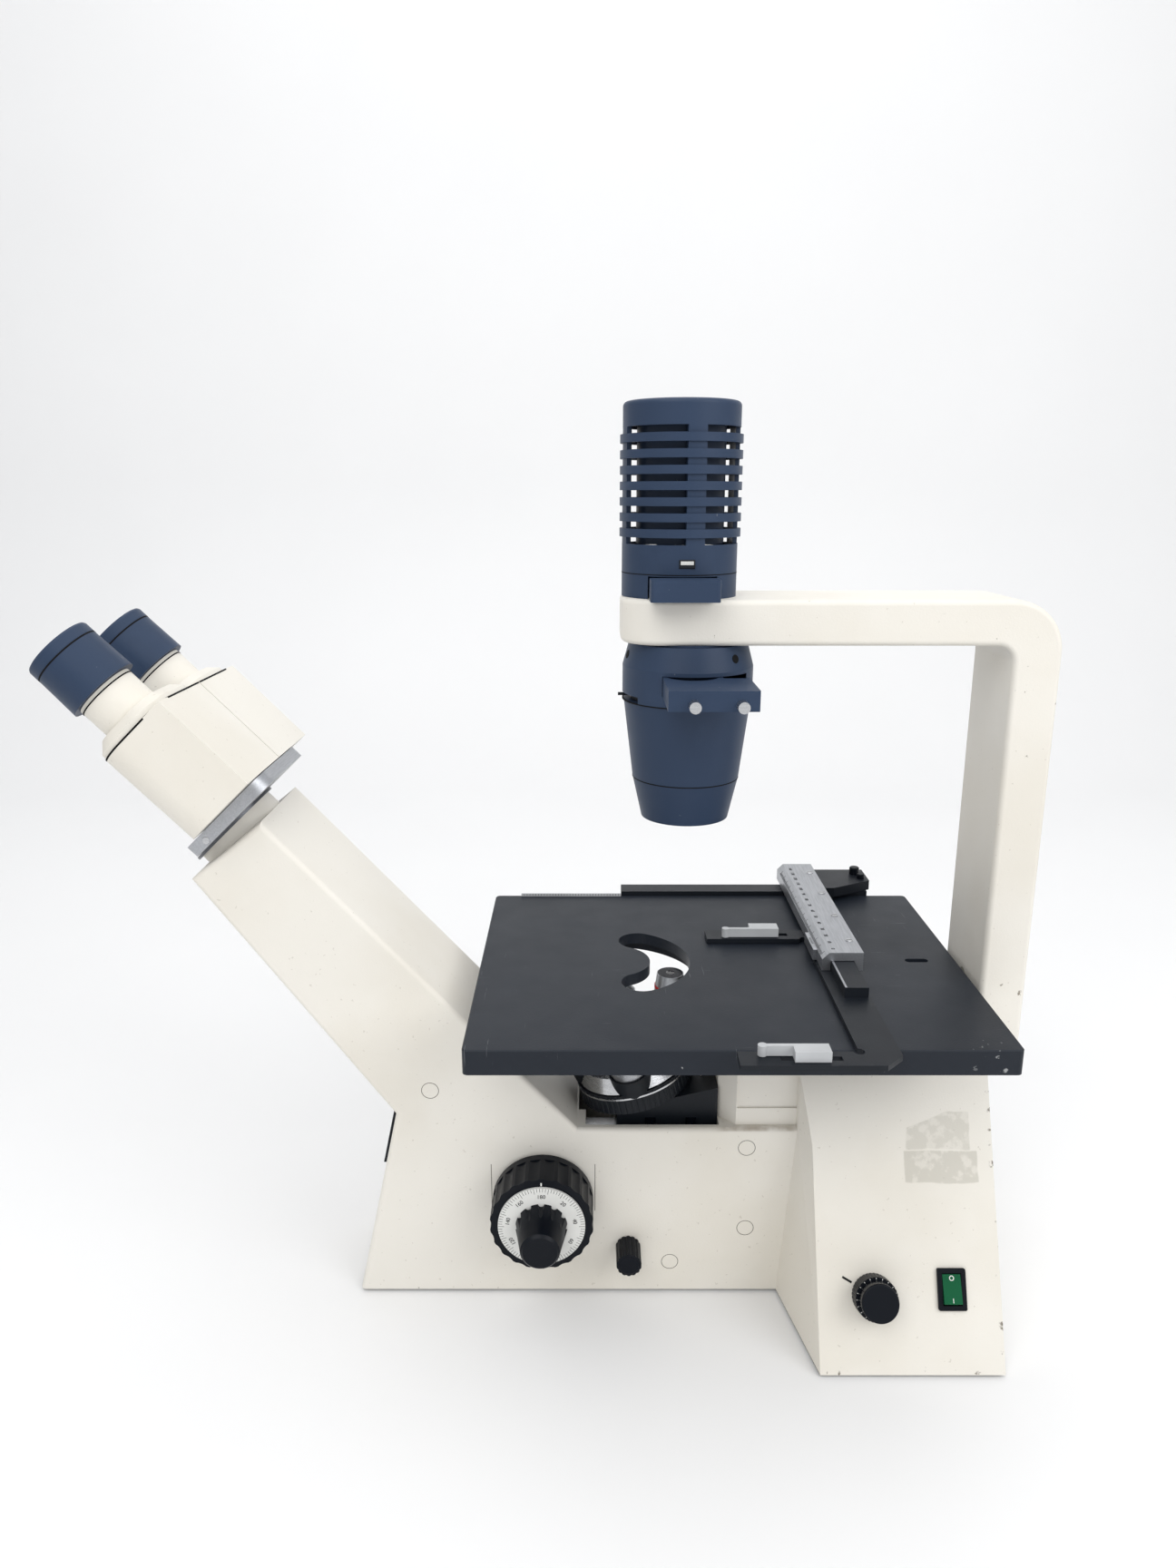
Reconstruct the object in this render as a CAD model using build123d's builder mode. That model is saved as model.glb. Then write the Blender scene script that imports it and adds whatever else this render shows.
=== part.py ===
"""Inverted microscope: stand, specimen stage, tilting light carrier, focusing nosepiece and binocular head.

Millimetres. +X points to the back of the stand, +Y to the user's left, +Z up from the bench.
"""
import math
import os

from build123d import *

# Clearances
running = 0.05          # radial, between a shaft and the bore it turns in
slide_gap = 0.3         # between faces that slide past each other
seat_gap = 0.3          # around a piece that is set into a pocket

# Foot, base plate and main casting
foot_height = 1.0
foot_radius = 9.0
base_thickness = 1.0
base_inset = 1.5        # base plate edge inside the casting edge
cast_z = foot_height + base_thickness
body_half = 39.0        # half width of the casting
wall = 5.0              # casting wall
edge_round = 3.0        # rounding of painted outside edges
toe_x = -119.4          # front lower corner
knee = (-92.7, 122.9)   # where the front face turns into the tube arm
arm_low = (-199.6, 269.6)
arm_high = (-158.8, 302.7)
sill_x = 14.2           # front end of the open trough
sill_z = 113.5          # top of the trough walls
turret_notch = 4.2      # cut into the trough's front wall, under the turret
joint_low_x = 136.4     # body meets the rear housing, at the base
joint_x = 144.5         # and from the sill upwards

# Rear housing, which flares into a wide foot
flank_x = 150.0         # front edge of the sloped flank
rear_x = 253.5
flare_half = 108.0      # half width at the bench
flare_top_z = 149.0     # where the flank meets the upright part
stage_z = 204.0         # top of the stage
stage_thickness = 14.0
deck_z = stage_z - stage_thickness
flare_slope = (flare_half - body_half) / flare_top_z
flare_tilt = math.degrees(math.atan(flare_slope))

# Stage plate and its openings
stage_front_x = -43.8
stage_back_x = 242.7
stage_half = 110.0
stage_corner = 3.0
stage_chamfer = 0.6
crescent_x = 36.0
crescent_radius = 34.0
crescent_width = 24.0
crescent_half_angle = 62.0
relief_radius = 52.0    # pocket under the crescent, where the objectives swing
relief_depth = 7.0
kidney_inset = 23.7     # from the stage's back edge
kidney_length = 14.0
kidney_width = 5.0
stage_pin_radius = 4.0   # hidden dowels between the stage and what carries it
stage_pin_length = 8.0   # each way from the joint
pedestal_x = 98.5       # front face of the pedestal that carries the stage
pedestal_half = 34.0
pedestal_chamfer = 10.0
plinth_height = 11.0    # of the pedestal's foot, under its side panels
panel_front_x = 109.0   # shallow panel in the pedestal's sides
panel_depth = 1.2

# Light carrier: pillar and top arm
pillar_gap = 4.7        # behind the stage
pillar_depth = 26.0
pillar_front_x = stage_back_x + pillar_gap
pillar_back_x = pillar_front_x + pillar_depth
carrier_half = 31.0
carrier_wall = 5.0
arm_low_z = 398.2
arm_thickness = 24.3
arm_top_z = arm_low_z + arm_thickness
arm_nose_x = 38.4
arm_nose_radius = 22.0
arm_outer_radius = 28.0
arm_inner_radius = 9.0
knuckle_z = 162.0       # tilt pivot of the carrier
ear_inner = 10.0        # ears of the rear housing, measured from the middle plane
ear_outer = 20.0
ear_step = 3.5          # ears are smaller than the knuckles
pin_radius = 4.0
wire_hole = 5.0         # radius, in the pillar

# Lamp housing and its filter drawer
optic_x = 70.5          # axis of lamp, objective and crescent
lamp_radius = 31.4
lamp_wall = 2.5
lamp_height = 101.0
lamp_top_z = arm_top_z + lamp_height
fin_radius = 32.8
fin_rise = 28.1         # lowest slot, above the arm
fin_drop = 8.7          # under the lamp's top
fin_low_z = arm_top_z + fin_rise
fin_high_z = lamp_top_z - fin_drop
fin_pitch = 8.025
slot_height = 3.65
rib_count = 4
rib_width = 10.0
rib_turn = 11.0
shield_radius = 23.8    # heat shield around the lamp
shield_wall = 1.5
light_hole = 18.0       # radius of the light path through the arm
drawer_width = 36.0
drawer_height = 11.3
drawer_front_y = -48.5
drawer_block = 16.0     # depth of the drawer's front block
drawer_step = 1.0       # plate inside the block's sides
drawer_round = 2.0
drawer_floor = 2.0
drawer_back_y = 20.0
drawer_hole_radius = 14.0
bulb_radius = 5.5
bulb_length = 24.0
socket_radius = 9.0
socket_length = 16.0
socket_plate = 4.0
socket_rise = 1.0       # plate above the fins
collector_thickness = 8.0
collector_edge = 2.0
collector_gap = 1.0     # under the lowest slot
bulb_flat = 1.0

# Condenser, filter tray and iris
condenser_x = 76.5
condenser_seat = 1.0    # step between the arm and the shoulder
condenser_top_z = arm_low_z - condenser_seat
shoulder_drop = 12.9    # height of the sloped shoulder
shoulder_z = condenser_top_z - shoulder_drop
shoulder_radius = 36.5
neck_radius = 33.0
condenser_wall = 3.0
housing_drop = 18.8     # straight part of the housing
cone_top_z = shoulder_z - housing_drop
cone_step = 0.7         # cone inside the housing's edge
cone_upper = 45.4       # heights of the cone's two parts
cone_lower = 23.6
cone_seam_z = cone_top_z - cone_upper
cone_seam_radius = 30.3
cone_low_z = cone_seam_z - cone_lower
cone_low_radius = 25.0
cone_bore = 24.0
light_margin = 2.0
condenser_lens_radius = 21.0
condenser_lens_thickness = 9.0
condenser_lens_edge = 3.0
condenser_lens_inset = 1.0
tray_width = 46.0
tray_offset = 7.0       # tray middle, behind the condenser axis
tray_thickness = 10.5
tray_drop = 12.8        # tray's underside, below the shoulder
tray_low_z = shoulder_z - tray_drop
tray_front_y = -75.0
tray_head = 39.0        # length of the wide part
tray_round = 1.0
tray_back_y = -8.0
tray_hole_radius = 14.0
tray_hole_y = -30.0
tray_pin_radius = 3.0
tray_pin_length = 7.0
tray_pin_spread = 24.0
tray_pin_rise = 3.2
tray_pin_shift = 2.0
iris_thickness = 3.0
iris_outer = 32.0
iris_inner = 20.0
iris_lever_radius = 0.9
iris_lever_end = 39.0
iris_lever_root = 2.0   # of the lever, in the ring
iris_swing = 30.0       # each way
iris_slot_margin = 8.0

# Focus drive
focus_x = -6.2
focus_z = 68.5
coarse_radius = 30.0
coarse_gap = 3.0        # between the casting and the coarse knob
coarse_length = 24.0
coarse_rim = 5.0        # smooth part of the knob
coarse_in_y = body_half + coarse_gap
coarse_out_y = coarse_in_y + coarse_length
coarse_shaft_inset = 2.0
flute_count = 22
flute_radius = 9.0
flute_depth = 0.8
dial_radius = 25.2
dial_thickness = 1.5
fine_base_radius = 15.0
fine_tip_radius = 11.2
fine_length = 23.0
fine_flutes = 12
fine_flute_radius = 1.8
fine_chamfer = 1.5
fine_cap = 3.0          # solid end of the fine knob
coarse_shaft_radius = 5.0
fine_shaft_radius = 3.0
bush_radius = 8.0
bush_boss = 7.0         # boss inside the casting wall
bush_in_y = body_half - wall - bush_boss
pinion_teeth = 16
gear_module = 0.75
tooth_play = 0.18       # taken off each flank
pressure_angle = 20.0
addendum_modules = 0.9
dedendum_modules = 1.2
pinion_width = 10.0

# Nosepiece: carriage, turret and objectives
turret_tilt = 14.0
turret_centre = (48.0, 0.0, 134.0)
turret_radius = 35.0
turret_grip = 12.0      # height of the knurled ring
turret_dome = 9.0
turret_dome_radius = 30.0
port_count = 4
port_radius = 23.1      # from the turret axis
port_boss_radius = 12.6
port_seat = 13.0        # height of the objective's shoulder over the turret plane
port_thread_radius = 10.16
port_thread_depth = 8.0
objective_radius = 11.4
objective_low_tip_radius = 8.0
objective_mid_tip_radius = 7.0
objective_high_tip_radius = 6.0
objective_tip_length = 16.0
objective_taper = 4.0
objective_tip_step = 1.5
objective_front = 4.0   # solid front, with the lens
thread_gap = 1.0        # under the thread
pivot_radius = 7.0
pivot_length = 10.0     # of the carriage's pivot, in the turret
turret_flutes = 60
turret_flute_radius = 0.9
turret_flute_depth = 0.36
turret_dome_base = 33.0
port_light_radius = 8.0
objective_bore = 6.0
objective_low_length = 56.4
objective_mid_length = 52.0
objective_high_length = 56.4
mirror_size = 40.0
mirror_lip = 4.0
mirror_half = 18.0
carriage_front_x = 38.0
carriage_half = 27.0
carriage_low_z = 84.0
rail_depth = 9.0
rail_half = 9.0
rail_low_z = 70.0
rack_length = 52.0
rack_back = 5.0
rack_arm_height = 8.0
rack_arm_half = 8.0

# Specimen guide
guide_rail_x = (44.0, 216.0)
guide_rail_width = 14.0
guide_rail_top_z = 207.0
frame_thickness = 3.0
bar_x = (157.0, 181.0)
bar_near_y = -22.0
bar_leg = 5.0
bar_roof = 5.0
bar_bevel = 4.0
bar_end_wall = 2.0
slide_height = 6.0
slide_y = (-57.0, 60.0)
arm_far_y = (25.0, 39.0)
arm_near_y = (-131.0, -117.0)
arm_far_x = 95.0
spine_x = (156.0, 177.0)
frame_chamfer = 10.0
frame_relief = 3.0
clip_x = (122.0, 140.0)
clip_depth = 9.0
clip_height = 5.5
clip_finger = 15.0
clip_finger_width = 2.4
clip_travel = 10.0
clip_tongue = 3.4
clip_inset = 4.0        # tongue ends inside the block's ends
carriage_right_x = 218.0
carriage_overlap = 12.0 # of the carriage's plate over the stage
skirt_width = 12.0      # beyond the rail, with the slide gap
lip_thickness = 3.0
lip_setback = 3.0       # of the lip, from the stage's far edge
bar_setback = 1.0       # of the bar's far end, from the skirt's
carriage_plate = 6.7
carriage_nose = 9.0     # straight part of the plate's near edge
drive_x = 200.0
drive_inset = 6.0       # of the drive axis, from the skirt's far face
drive_tube_radius = 3.6
drive_rod_radius = 2.0
drive_knob_radius = 6.5
drive_knob_length = 18.0
drive_flutes = 24
drive_rod_reach = 6.5   # of the inner rod, past the end of the tube
drive_drop = 2.0        # end of the tube, under the carriage plate

# Binocular head
head_tilt = 46.0        # viewing axis above the horizontal
head_origin = (-184.8, 0.0, 290.35)
plate_radius = 28.75
plate_thickness = 1.6
spigot_radius = 20.0
spigot_bore = 15.0
spigot_length = 16.0
collar_radius = 26.0    # round neck of the tube arm, under the plate
collar_height = 12.0
head_base_top = 9.0
head_base_half = 40.0
head_base_p = (-16.0, 47.0)
head_base_round = 12.0
hub_p = 22.0            # swing axis, from the dovetail axis
hub_radius = 13.5
hub_bore = 10.5
hub_top = 36.0
knuckle_wall = 4.0
half_low = 9.4          # prism housings start here along the viewing axis
half_high = 70.0
half_p = (-3.0, 48.0)
half_out = 60.0
half_gap = 0.5          # from the middle plane
half_round_low = 20.0
half_round_high = 14.0
swing_limit = 38.0
swing_margin = 1.0
eye_spacing = 72.0
tube_radius = 16.5
tube_bore = 15.1
tube_cap = 8.0          # rounded end of the prism housing
cap_inset = 1.0
cap_round = 18.0
cap_chamfer = 5.0
cross_bore_q = 52.0     # light path across the prism housing
cross_bore_radius = 9.0
tube_top = 97.0
eyepiece_top = 129.3
eyepiece_low_radius = 19.9
eyepiece_top_radius = 18.9
sleeve_length = 15.0
eyecup_depth = 5.0
eyecup_wall = 3.5
eyecup_chamfer = 1.0
eyepiece_bore = 12.0
eye_lens_thickness = 4.0

# Controls on the right flank and side
dimmer_x = 181.2
dimmer_z = 40.0
dimmer_radius = 12.0
dimmer_cap_radius = 10.4
dimmer_skirt = 9.0
dimmer_length = 17.0
dimmer_shaft_radius = 3.0
dimmer_shaft_length = 12.5
dimmer_flutes = 36
dimmer_round = 0.8
knurl_radius = 0.6      # fine flutes of the dimmer and the drive knobs
knurl_depth = 0.24
switch_x = 225.6
switch_z = 43.0
bezel_width = 16.0
bezel_height = 22.5
bezel_proud = 1.6
bezel_rim = 2.6
bezel_depth = 14.0
bezel_floor = 2.0
bezel_round = 1.0
rocker_play = 0.7
rocker_tilt = 8.0
rocker_proud = 2.2
rocker_depth = 5.0
rocker_round = 0.6
trunnion_radius = 0.8   # pivot stubs of the rocker, in the bezel
selector_x = 45.0
selector_z = 33.0
selector_radius = 7.5
selector_length = 17.0
selector_shaft_radius = 3.0
selector_flutes = 14
selector_flute_radius = 1.2
selector_flute_depth = 0.5
plug_radius = 5.0
plug_depth = 2.0
plug_places = ((-71.8, 139.1), (114.9, 101.0), (115.9, 45.9), (70.6, 22.0))
front_plate_z = (80.0, 118.0)
front_plate_half = 22.0
front_plate_thickness = 2.5
inlet_y = 40.0
inlet_z = 38.0
inlet_width = 27.0
inlet_height = 20.0
inlet_depth = 20.0
inlet_rim = 3.0
inlet_pin = (1.5, 5.0)
supply_length = 52.0
supply_width = 46.0
supply_height = 50.0
supply_chamfer = 3.0

os.makedirs("parts", exist_ok=True)


def save(builder, name):
    """Label a finished piece and write it to its own file."""
    builder.part.label = name
    export_step(builder.part, f"parts/{name}.step")


def flank_half(z):
    """Half width of the rear foot at a height."""
    return flare_half - flare_slope * z


def fluted(radius, count, cutter, depth):
    """A round face with scallops around it."""
    Circle(radius)
    with PolarLocations(radius + cutter - depth, count):
        Circle(cutter, mode=Mode.SUBTRACT)


def ring(outer, inner):
    """A flat ring, in the current sketch."""
    Circle(outer)
    Circle(inner, mode=Mode.SUBTRACT)


# Base plate and its rubber feet
base_points = (
    (toe_x + base_inset, body_half - base_inset),
    (joint_low_x, body_half - base_inset),
    (flank_x, flank_half(cast_z) - base_inset),
    (rear_x - base_inset, flank_half(cast_z) - base_inset),
)
base_mirrored = tuple((x, -y) for x, y in reversed(base_points))
foot_places = (
    (toe_x + 2 * foot_radius, body_half - 1.5 * foot_radius),
    (toe_x + 2 * foot_radius, 1.5 * foot_radius - body_half),
    (rear_x - 2 * foot_radius, flank_half(0) - 2 * foot_radius),
    (rear_x - 2 * foot_radius, 2 * foot_radius - flank_half(0)),
)
with BuildPart() as base_plate:
    with BuildSketch(Plane.XY.offset(foot_height)):
        Polygon(*base_points, *base_mirrored, align=None)
    extrude(amount=base_thickness)
save(base_plate, "base_plate")

with BuildPart() as rubber_feet:
    with BuildSketch():
        with Locations(*foot_places):
            Circle(foot_radius)
    extrude(amount=foot_height)
save(rubber_feet, "rubber_feet")

# Main casting: focus block in front, tube arm above it and an open trough for the nosepiece
head_sin = math.sin(math.radians(head_tilt))
head_cos = math.cos(math.radians(head_tilt))
head_plane = Plane(origin=head_origin, x_dir=(head_sin, 0, head_cos), z_dir=(-head_cos, 0, head_sin))
focus_plane = Plane(origin=(focus_x, 0, focus_z), x_dir=(1, 0, 0), z_dir=(0, -1, 0))
body_points = (
    (toe_x, cast_z),
    knee,
    arm_low,
    arm_high,
    (sill_x, sill_z),
    (joint_x, sill_z),
    (joint_low_x, cast_z),
)
with BuildPart() as body_casting:
    with BuildSketch(Plane.XZ):
        Polygon(*body_points, align=None)
    extrude(amount=body_half, both=True)
    side_edges = body_casting.faces().filter_by(Axis.Y).edges()
    raised_edges = side_edges.filter_by(lambda e: e.center().Z > cast_z + edge_round)
    shown_edges = raised_edges.filter_by(lambda e: e.center().X < joint_low_x)
    fillet(shown_edges, edge_round)
    with BuildSketch(Plane.XZ):
        Polygon(*body_points, align=None)
        offset(amount=-wall, kind=Kind.INTERSECTION, mode=Mode.REPLACE)
    extrude(amount=body_half - wall, both=True, mode=Mode.SUBTRACT)
    with BuildSketch(Plane.XY.offset(cast_z)):
        with Locations(((toe_x + joint_low_x) / 2, 0)):
            Rectangle(joint_low_x - toe_x - 6 * wall, 2 * (body_half - wall))
    extrude(amount=2 * wall, mode=Mode.SUBTRACT)
    with BuildSketch(Plane.XY.offset(sill_z - 2 * wall)):
        with Locations(((sill_x + wall + pedestal_x) / 2, 0)):
            Rectangle(pedestal_x - sill_x - wall, 2 * (body_half - wall))
        with Locations((sill_x + wall, 0)):
            Rectangle(2 * turret_notch, turret_radius)
    extrude(amount=4 * wall, mode=Mode.SUBTRACT)
    with BuildSketch(head_plane):
        Circle(collar_radius)
    extrude(amount=-collar_height)
    with BuildSketch(head_plane.offset(-2 * spigot_length)):
        Circle(spigot_radius + seat_gap)
    extrude(amount=3 * spigot_length, mode=Mode.SUBTRACT)
    for side in (1, -1):
        with BuildSketch(focus_plane.offset(side * (body_half - wall))):
            Circle(bush_radius + wall)
        extrude(amount=side * (bush_in_y - body_half + wall))
    with BuildSketch(focus_plane):
        Circle(bush_radius)
    extrude(amount=body_half, both=True, mode=Mode.SUBTRACT)
    for side in (1, -1):
        with BuildSketch(Plane.XZ.offset(side * (body_half - plug_depth))):
            with Locations(*plug_places):
                Circle(plug_radius + running)
        extrude(amount=side * plug_depth, mode=Mode.SUBTRACT)
    with BuildSketch(Plane.XZ):
        with Locations((selector_x, selector_z)):
            Circle(selector_shaft_radius + running)
    extrude(amount=2 * body_half, mode=Mode.SUBTRACT)
save(body_casting, "body_casting")

with BuildPart() as cover_plugs:
    for side in (1, -1):
        with BuildSketch(Plane.XZ.offset(side * (body_half - plug_depth))):
            with Locations(*plug_places):
                Circle(plug_radius)
        extrude(amount=side * plug_depth)
save(cover_plugs, "cover_plugs")


def front_x(z):
    """The sloped front face of the casting at a height."""
    return toe_x + (knee[0] - toe_x) * (z - cast_z) / (knee[1] - cast_z)


with BuildPart() as front_plate:
    low, high = front_plate_z
    with BuildSketch(Plane.XZ):
        Polygon(
            (front_x(low), low),
            (front_x(high), high),
            (front_x(high) - front_plate_thickness, high),
            (front_x(low) - front_plate_thickness, low),
            align=None,
        )
    extrude(amount=front_plate_half, both=True)
save(front_plate, "front_plate")


# Rear housing: hollow, with flared flanks, the deck under the stage and two ears for the carrier pivot
def housing_section(z, joint, inset):
    """Half of the housing's outline at a height, then its mirror image."""
    near = (
        (joint + inset, body_half - inset),
        (flank_x + inset, flank_half(z) - inset),
        (rear_x - inset, flank_half(z) - inset),
    )
    return (*near, *((x, -y) for x, y in reversed(near)))


def housing_block(inset):
    """A closed block through the outlines at three heights. Its sides are flat, in triangles."""
    levels = [
        [(x, y, z) for x, y in housing_section(z, joint, inset)]
        for z, joint in ((cast_z, joint_low_x), (sill_z, joint_x), (flare_top_z, joint_x))
    ]
    loops = [levels[0], levels[-1]]
    for low, high in zip(levels, levels[1:]):
        for i in range(len(low)):
            after = (i + 1) % len(low)
            first, second = (after, i) if 2 * i < len(low) else (i, after)
            loops.append((low[first], low[second], high[second]))
            loops.append((low[first], high[second], high[first]))
    return Solid(Shell([Face(Wire.make_polygon(loop)) for loop in loops]))


def flank_plane(x, z):
    """A plane on the right flank, facing outwards."""
    tilt = math.radians(flare_tilt)
    return Plane(
        origin=(x, -flank_half(z), z), x_dir=(1, 0, 0), z_dir=(0, -math.cos(tilt), math.sin(tilt))
    )


knuckle_x = (pillar_front_x + pillar_back_x) / 2
knuckle_radius = (pillar_back_x - pillar_front_x) / 2
upright_back_x = pillar_front_x - slide_gap
ear_radius = knuckle_radius - ear_step
dimmer_plane = flank_plane(dimmer_x, dimmer_z)
switch_plane = flank_plane(switch_x, switch_z)
inlet_plane = Plane(origin=(rear_x, inlet_y, inlet_z), x_dir=(0, 1, 0), z_dir=(1, 0, 0))
stage_pin_places = (
    (joint_x - 4 * stage_pin_radius, pedestal_half / 2),
    (joint_x - 4 * stage_pin_radius, -pedestal_half / 2),
    (stage_back_x - 5 * stage_pin_radius, body_half / 2),
    (stage_back_x - 5 * stage_pin_radius, -body_half / 2),
)
with BuildPart() as rear_housing:
    add(housing_block(0))
    with BuildSketch(Plane.XY.offset(flare_top_z)):
        with Locations(((joint_x + upright_back_x) / 2, 0)):
            Rectangle(upright_back_x - joint_x, 2 * body_half)
    extrude(amount=deck_z - flare_top_z)
    add(housing_block(wall), mode=Mode.SUBTRACT)
    with BuildSketch(Plane.XY.offset(flare_top_z)):
        with Locations(((joint_x + upright_back_x) / 2, 0)):
            Rectangle(upright_back_x - joint_x - 2 * wall, 2 * (body_half - wall))
    extrude(amount=deck_z - wall - flare_top_z, mode=Mode.SUBTRACT)
    for side in (1, -1):
        with BuildSketch(Plane.XZ.offset(side * (ear_inner + slide_gap))):
            with Locations((knuckle_x, knuckle_z)):
                Circle(ear_radius)
            with Locations(((upright_back_x + knuckle_x) / 2, knuckle_z)):
                Rectangle(knuckle_x - upright_back_x, 2 * ear_radius)
        extrude(amount=side * (ear_outer - ear_inner - 2 * slide_gap))
    with BuildSketch(Plane.XZ):
        with Locations((knuckle_x, knuckle_z)):
            Circle(pin_radius)
    extrude(amount=ear_outer, both=True, mode=Mode.SUBTRACT)
    with BuildSketch(dimmer_plane):
        Circle(dimmer_shaft_radius + running)
    extrude(amount=2 * wall, both=True, mode=Mode.SUBTRACT)
    with BuildSketch(switch_plane):
        Rectangle(bezel_width - bezel_rim, bezel_height - bezel_rim)
    extrude(amount=2 * wall, both=True, mode=Mode.SUBTRACT)
    with BuildSketch(inlet_plane):
        Rectangle(inlet_width - inlet_rim, inlet_height - inlet_rim)
    extrude(amount=2 * wall, both=True, mode=Mode.SUBTRACT)
    with BuildSketch(Plane.XY.offset(deck_z - wall)):
        with Locations(*stage_pin_places[2:]):
            Circle(stage_pin_radius + wall)
    extrude(amount=-stage_pin_length)
    with BuildSketch(Plane.XY.offset(deck_z)):
        with Locations(*stage_pin_places[2:]):
            Circle(stage_pin_radius)
    extrude(amount=-stage_pin_length, mode=Mode.SUBTRACT)
save(rear_housing, "rear_housing")

with BuildPart() as carrier_hinge_pin:
    with BuildSketch(Plane.XZ):
        with Locations((knuckle_x, knuckle_z)):
            Circle(pin_radius)
    extrude(amount=carrier_half, both=True)
save(carrier_hinge_pin, "carrier_hinge_pin")

# Power parts: mains inlet, switch and transformer
with BuildPart() as power_inlet:
    with BuildSketch(inlet_plane):
        Rectangle(inlet_width, inlet_height)
    extrude(amount=inlet_rim / 2)
    with BuildSketch(inlet_plane):
        Rectangle(inlet_width - inlet_rim - 2 * seat_gap, inlet_height - inlet_rim - 2 * seat_gap)
    extrude(amount=-inlet_depth)
    with BuildSketch(inlet_plane.offset(inlet_rim / 2)):
        Rectangle(inlet_width - 2 * inlet_rim, inlet_height - 2 * inlet_rim)
    extrude(amount=inlet_rim - inlet_depth, mode=Mode.SUBTRACT)
    with BuildSketch(inlet_plane.offset(inlet_rim - inlet_depth)):
        with GridLocations(inlet_width / 4, 0, 3, 1):
            Rectangle(*inlet_pin)
    extrude(amount=inlet_depth / 2)
save(power_inlet, "power_inlet")

trunnion_plane = Plane(origin=switch_plane.origin, x_dir=switch_plane.z_dir, z_dir=(1, 0, 0))
trunnion_reach = (bezel_width - bezel_rim) / 2 - seat_gap
with BuildPart() as rocker_bezel:
    with BuildSketch(switch_plane):
        RectangleRounded(bezel_width, bezel_height, bezel_round)
    extrude(amount=bezel_proud)
    with BuildSketch(switch_plane):
        Rectangle(bezel_width - bezel_rim - 2 * seat_gap, bezel_height - bezel_rim - 2 * seat_gap)
    extrude(amount=-bezel_depth)
    with BuildSketch(switch_plane.offset(bezel_proud)):
        Rectangle(bezel_width - 2 * bezel_rim, bezel_height - 2 * bezel_rim)
    extrude(amount=bezel_floor - bezel_depth, mode=Mode.SUBTRACT)
    with BuildSketch(trunnion_plane):
        Circle(trunnion_radius + running)
    extrude(amount=trunnion_reach, both=True, mode=Mode.SUBTRACT)
save(rocker_bezel, "rocker_bezel")

# The rocker rests with its upper end pressed in
rocker_plane = switch_plane.rotated((-rocker_tilt, 0, 0))
with BuildPart() as rocker:
    with BuildSketch(rocker_plane.offset(rocker_proud)):
        Rectangle(bezel_width - 2 * bezel_rim - 2 * seat_gap, bezel_height - 2 * bezel_rim - 2 * rocker_play)
    extrude(amount=-rocker_proud - rocker_depth)
    fillet(rocker.edges().filter_by(Axis.X), rocker_round)
    with BuildSketch(trunnion_plane):
        Circle(trunnion_radius)
    extrude(amount=trunnion_reach - slide_gap, both=True)
save(rocker, "rocker")

with BuildPart() as power_supply:
    with BuildSketch(Plane.XY.offset(cast_z)):
        with Locations(((flank_x + rear_x) / 2, 0)):
            Rectangle(supply_length, supply_width)
    extrude(amount=supply_height)
    chamfer(power_supply.faces().sort_by(Axis.Z)[-1].edges(), supply_chamfer)
save(power_supply, "power_supply")

with BuildPart() as dimmer_knob:
    with BuildSketch(dimmer_plane.offset(slide_gap)):
        fluted(dimmer_radius, dimmer_flutes, knurl_radius, knurl_depth)
    extrude(amount=dimmer_skirt)
    with BuildSketch(dimmer_plane.offset(slide_gap + dimmer_skirt)):
        Circle(dimmer_cap_radius)
    extrude(amount=dimmer_length - dimmer_skirt)
    fillet(dimmer_knob.faces().sort_by(Axis.Y)[0].edges(), dimmer_round)
    with BuildSketch(dimmer_plane.offset(slide_gap)):
        Circle(dimmer_shaft_radius)
    extrude(amount=-dimmer_shaft_length)
save(dimmer_knob, "dimmer_knob")

selector_plane = Plane(origin=(selector_x, -body_half, selector_z), x_dir=(1, 0, 0), z_dir=(0, -1, 0))
with BuildPart() as selector_knob:
    with BuildSketch(selector_plane.offset(slide_gap)):
        fluted(selector_radius, selector_flutes, selector_flute_radius, selector_flute_depth)
    extrude(amount=selector_length)
    with BuildSketch(selector_plane.offset(slide_gap)):
        Circle(selector_shaft_radius)
    extrude(amount=-2 * wall)
save(selector_knob, "selector_knob")

# Pedestal between trough and stage, with the upright rail that guides the nosepiece
with BuildPart() as stage_pedestal:
    with BuildSketch(Plane.XY.offset(sill_z)):
        Polygon(
            (pedestal_x, pedestal_half - pedestal_chamfer),
            (pedestal_x + pedestal_chamfer, pedestal_half),
            (joint_x, pedestal_half),
            (joint_x, -pedestal_half),
            (pedestal_x + pedestal_chamfer, -pedestal_half),
            (pedestal_x, pedestal_chamfer - pedestal_half),
            align=None,
        )
    extrude(amount=deck_z - sill_z)
    with BuildSketch(Plane.XY.offset(rail_low_z)):
        with Locations((pedestal_x - rail_depth / 2, 0)):
            Rectangle(rail_depth, 2 * rail_half)
    extrude(amount=deck_z - relief_depth - rail_low_z)
    for side in (1, -1):
        with BuildSketch(Plane.XZ.offset(side * pedestal_half)):
            with Locations(((panel_front_x + joint_x) / 2, (sill_z + plinth_height + deck_z) / 2)):
                Rectangle(joint_x - panel_front_x, deck_z - sill_z - plinth_height)
        extrude(amount=-side * panel_depth, mode=Mode.SUBTRACT)
    with BuildSketch(Plane.XY.offset(deck_z)):
        with Locations(*stage_pin_places):
            Circle(stage_pin_radius)
    extrude(amount=-stage_pin_length, mode=Mode.SUBTRACT)
save(stage_pedestal, "stage_pedestal")

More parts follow.
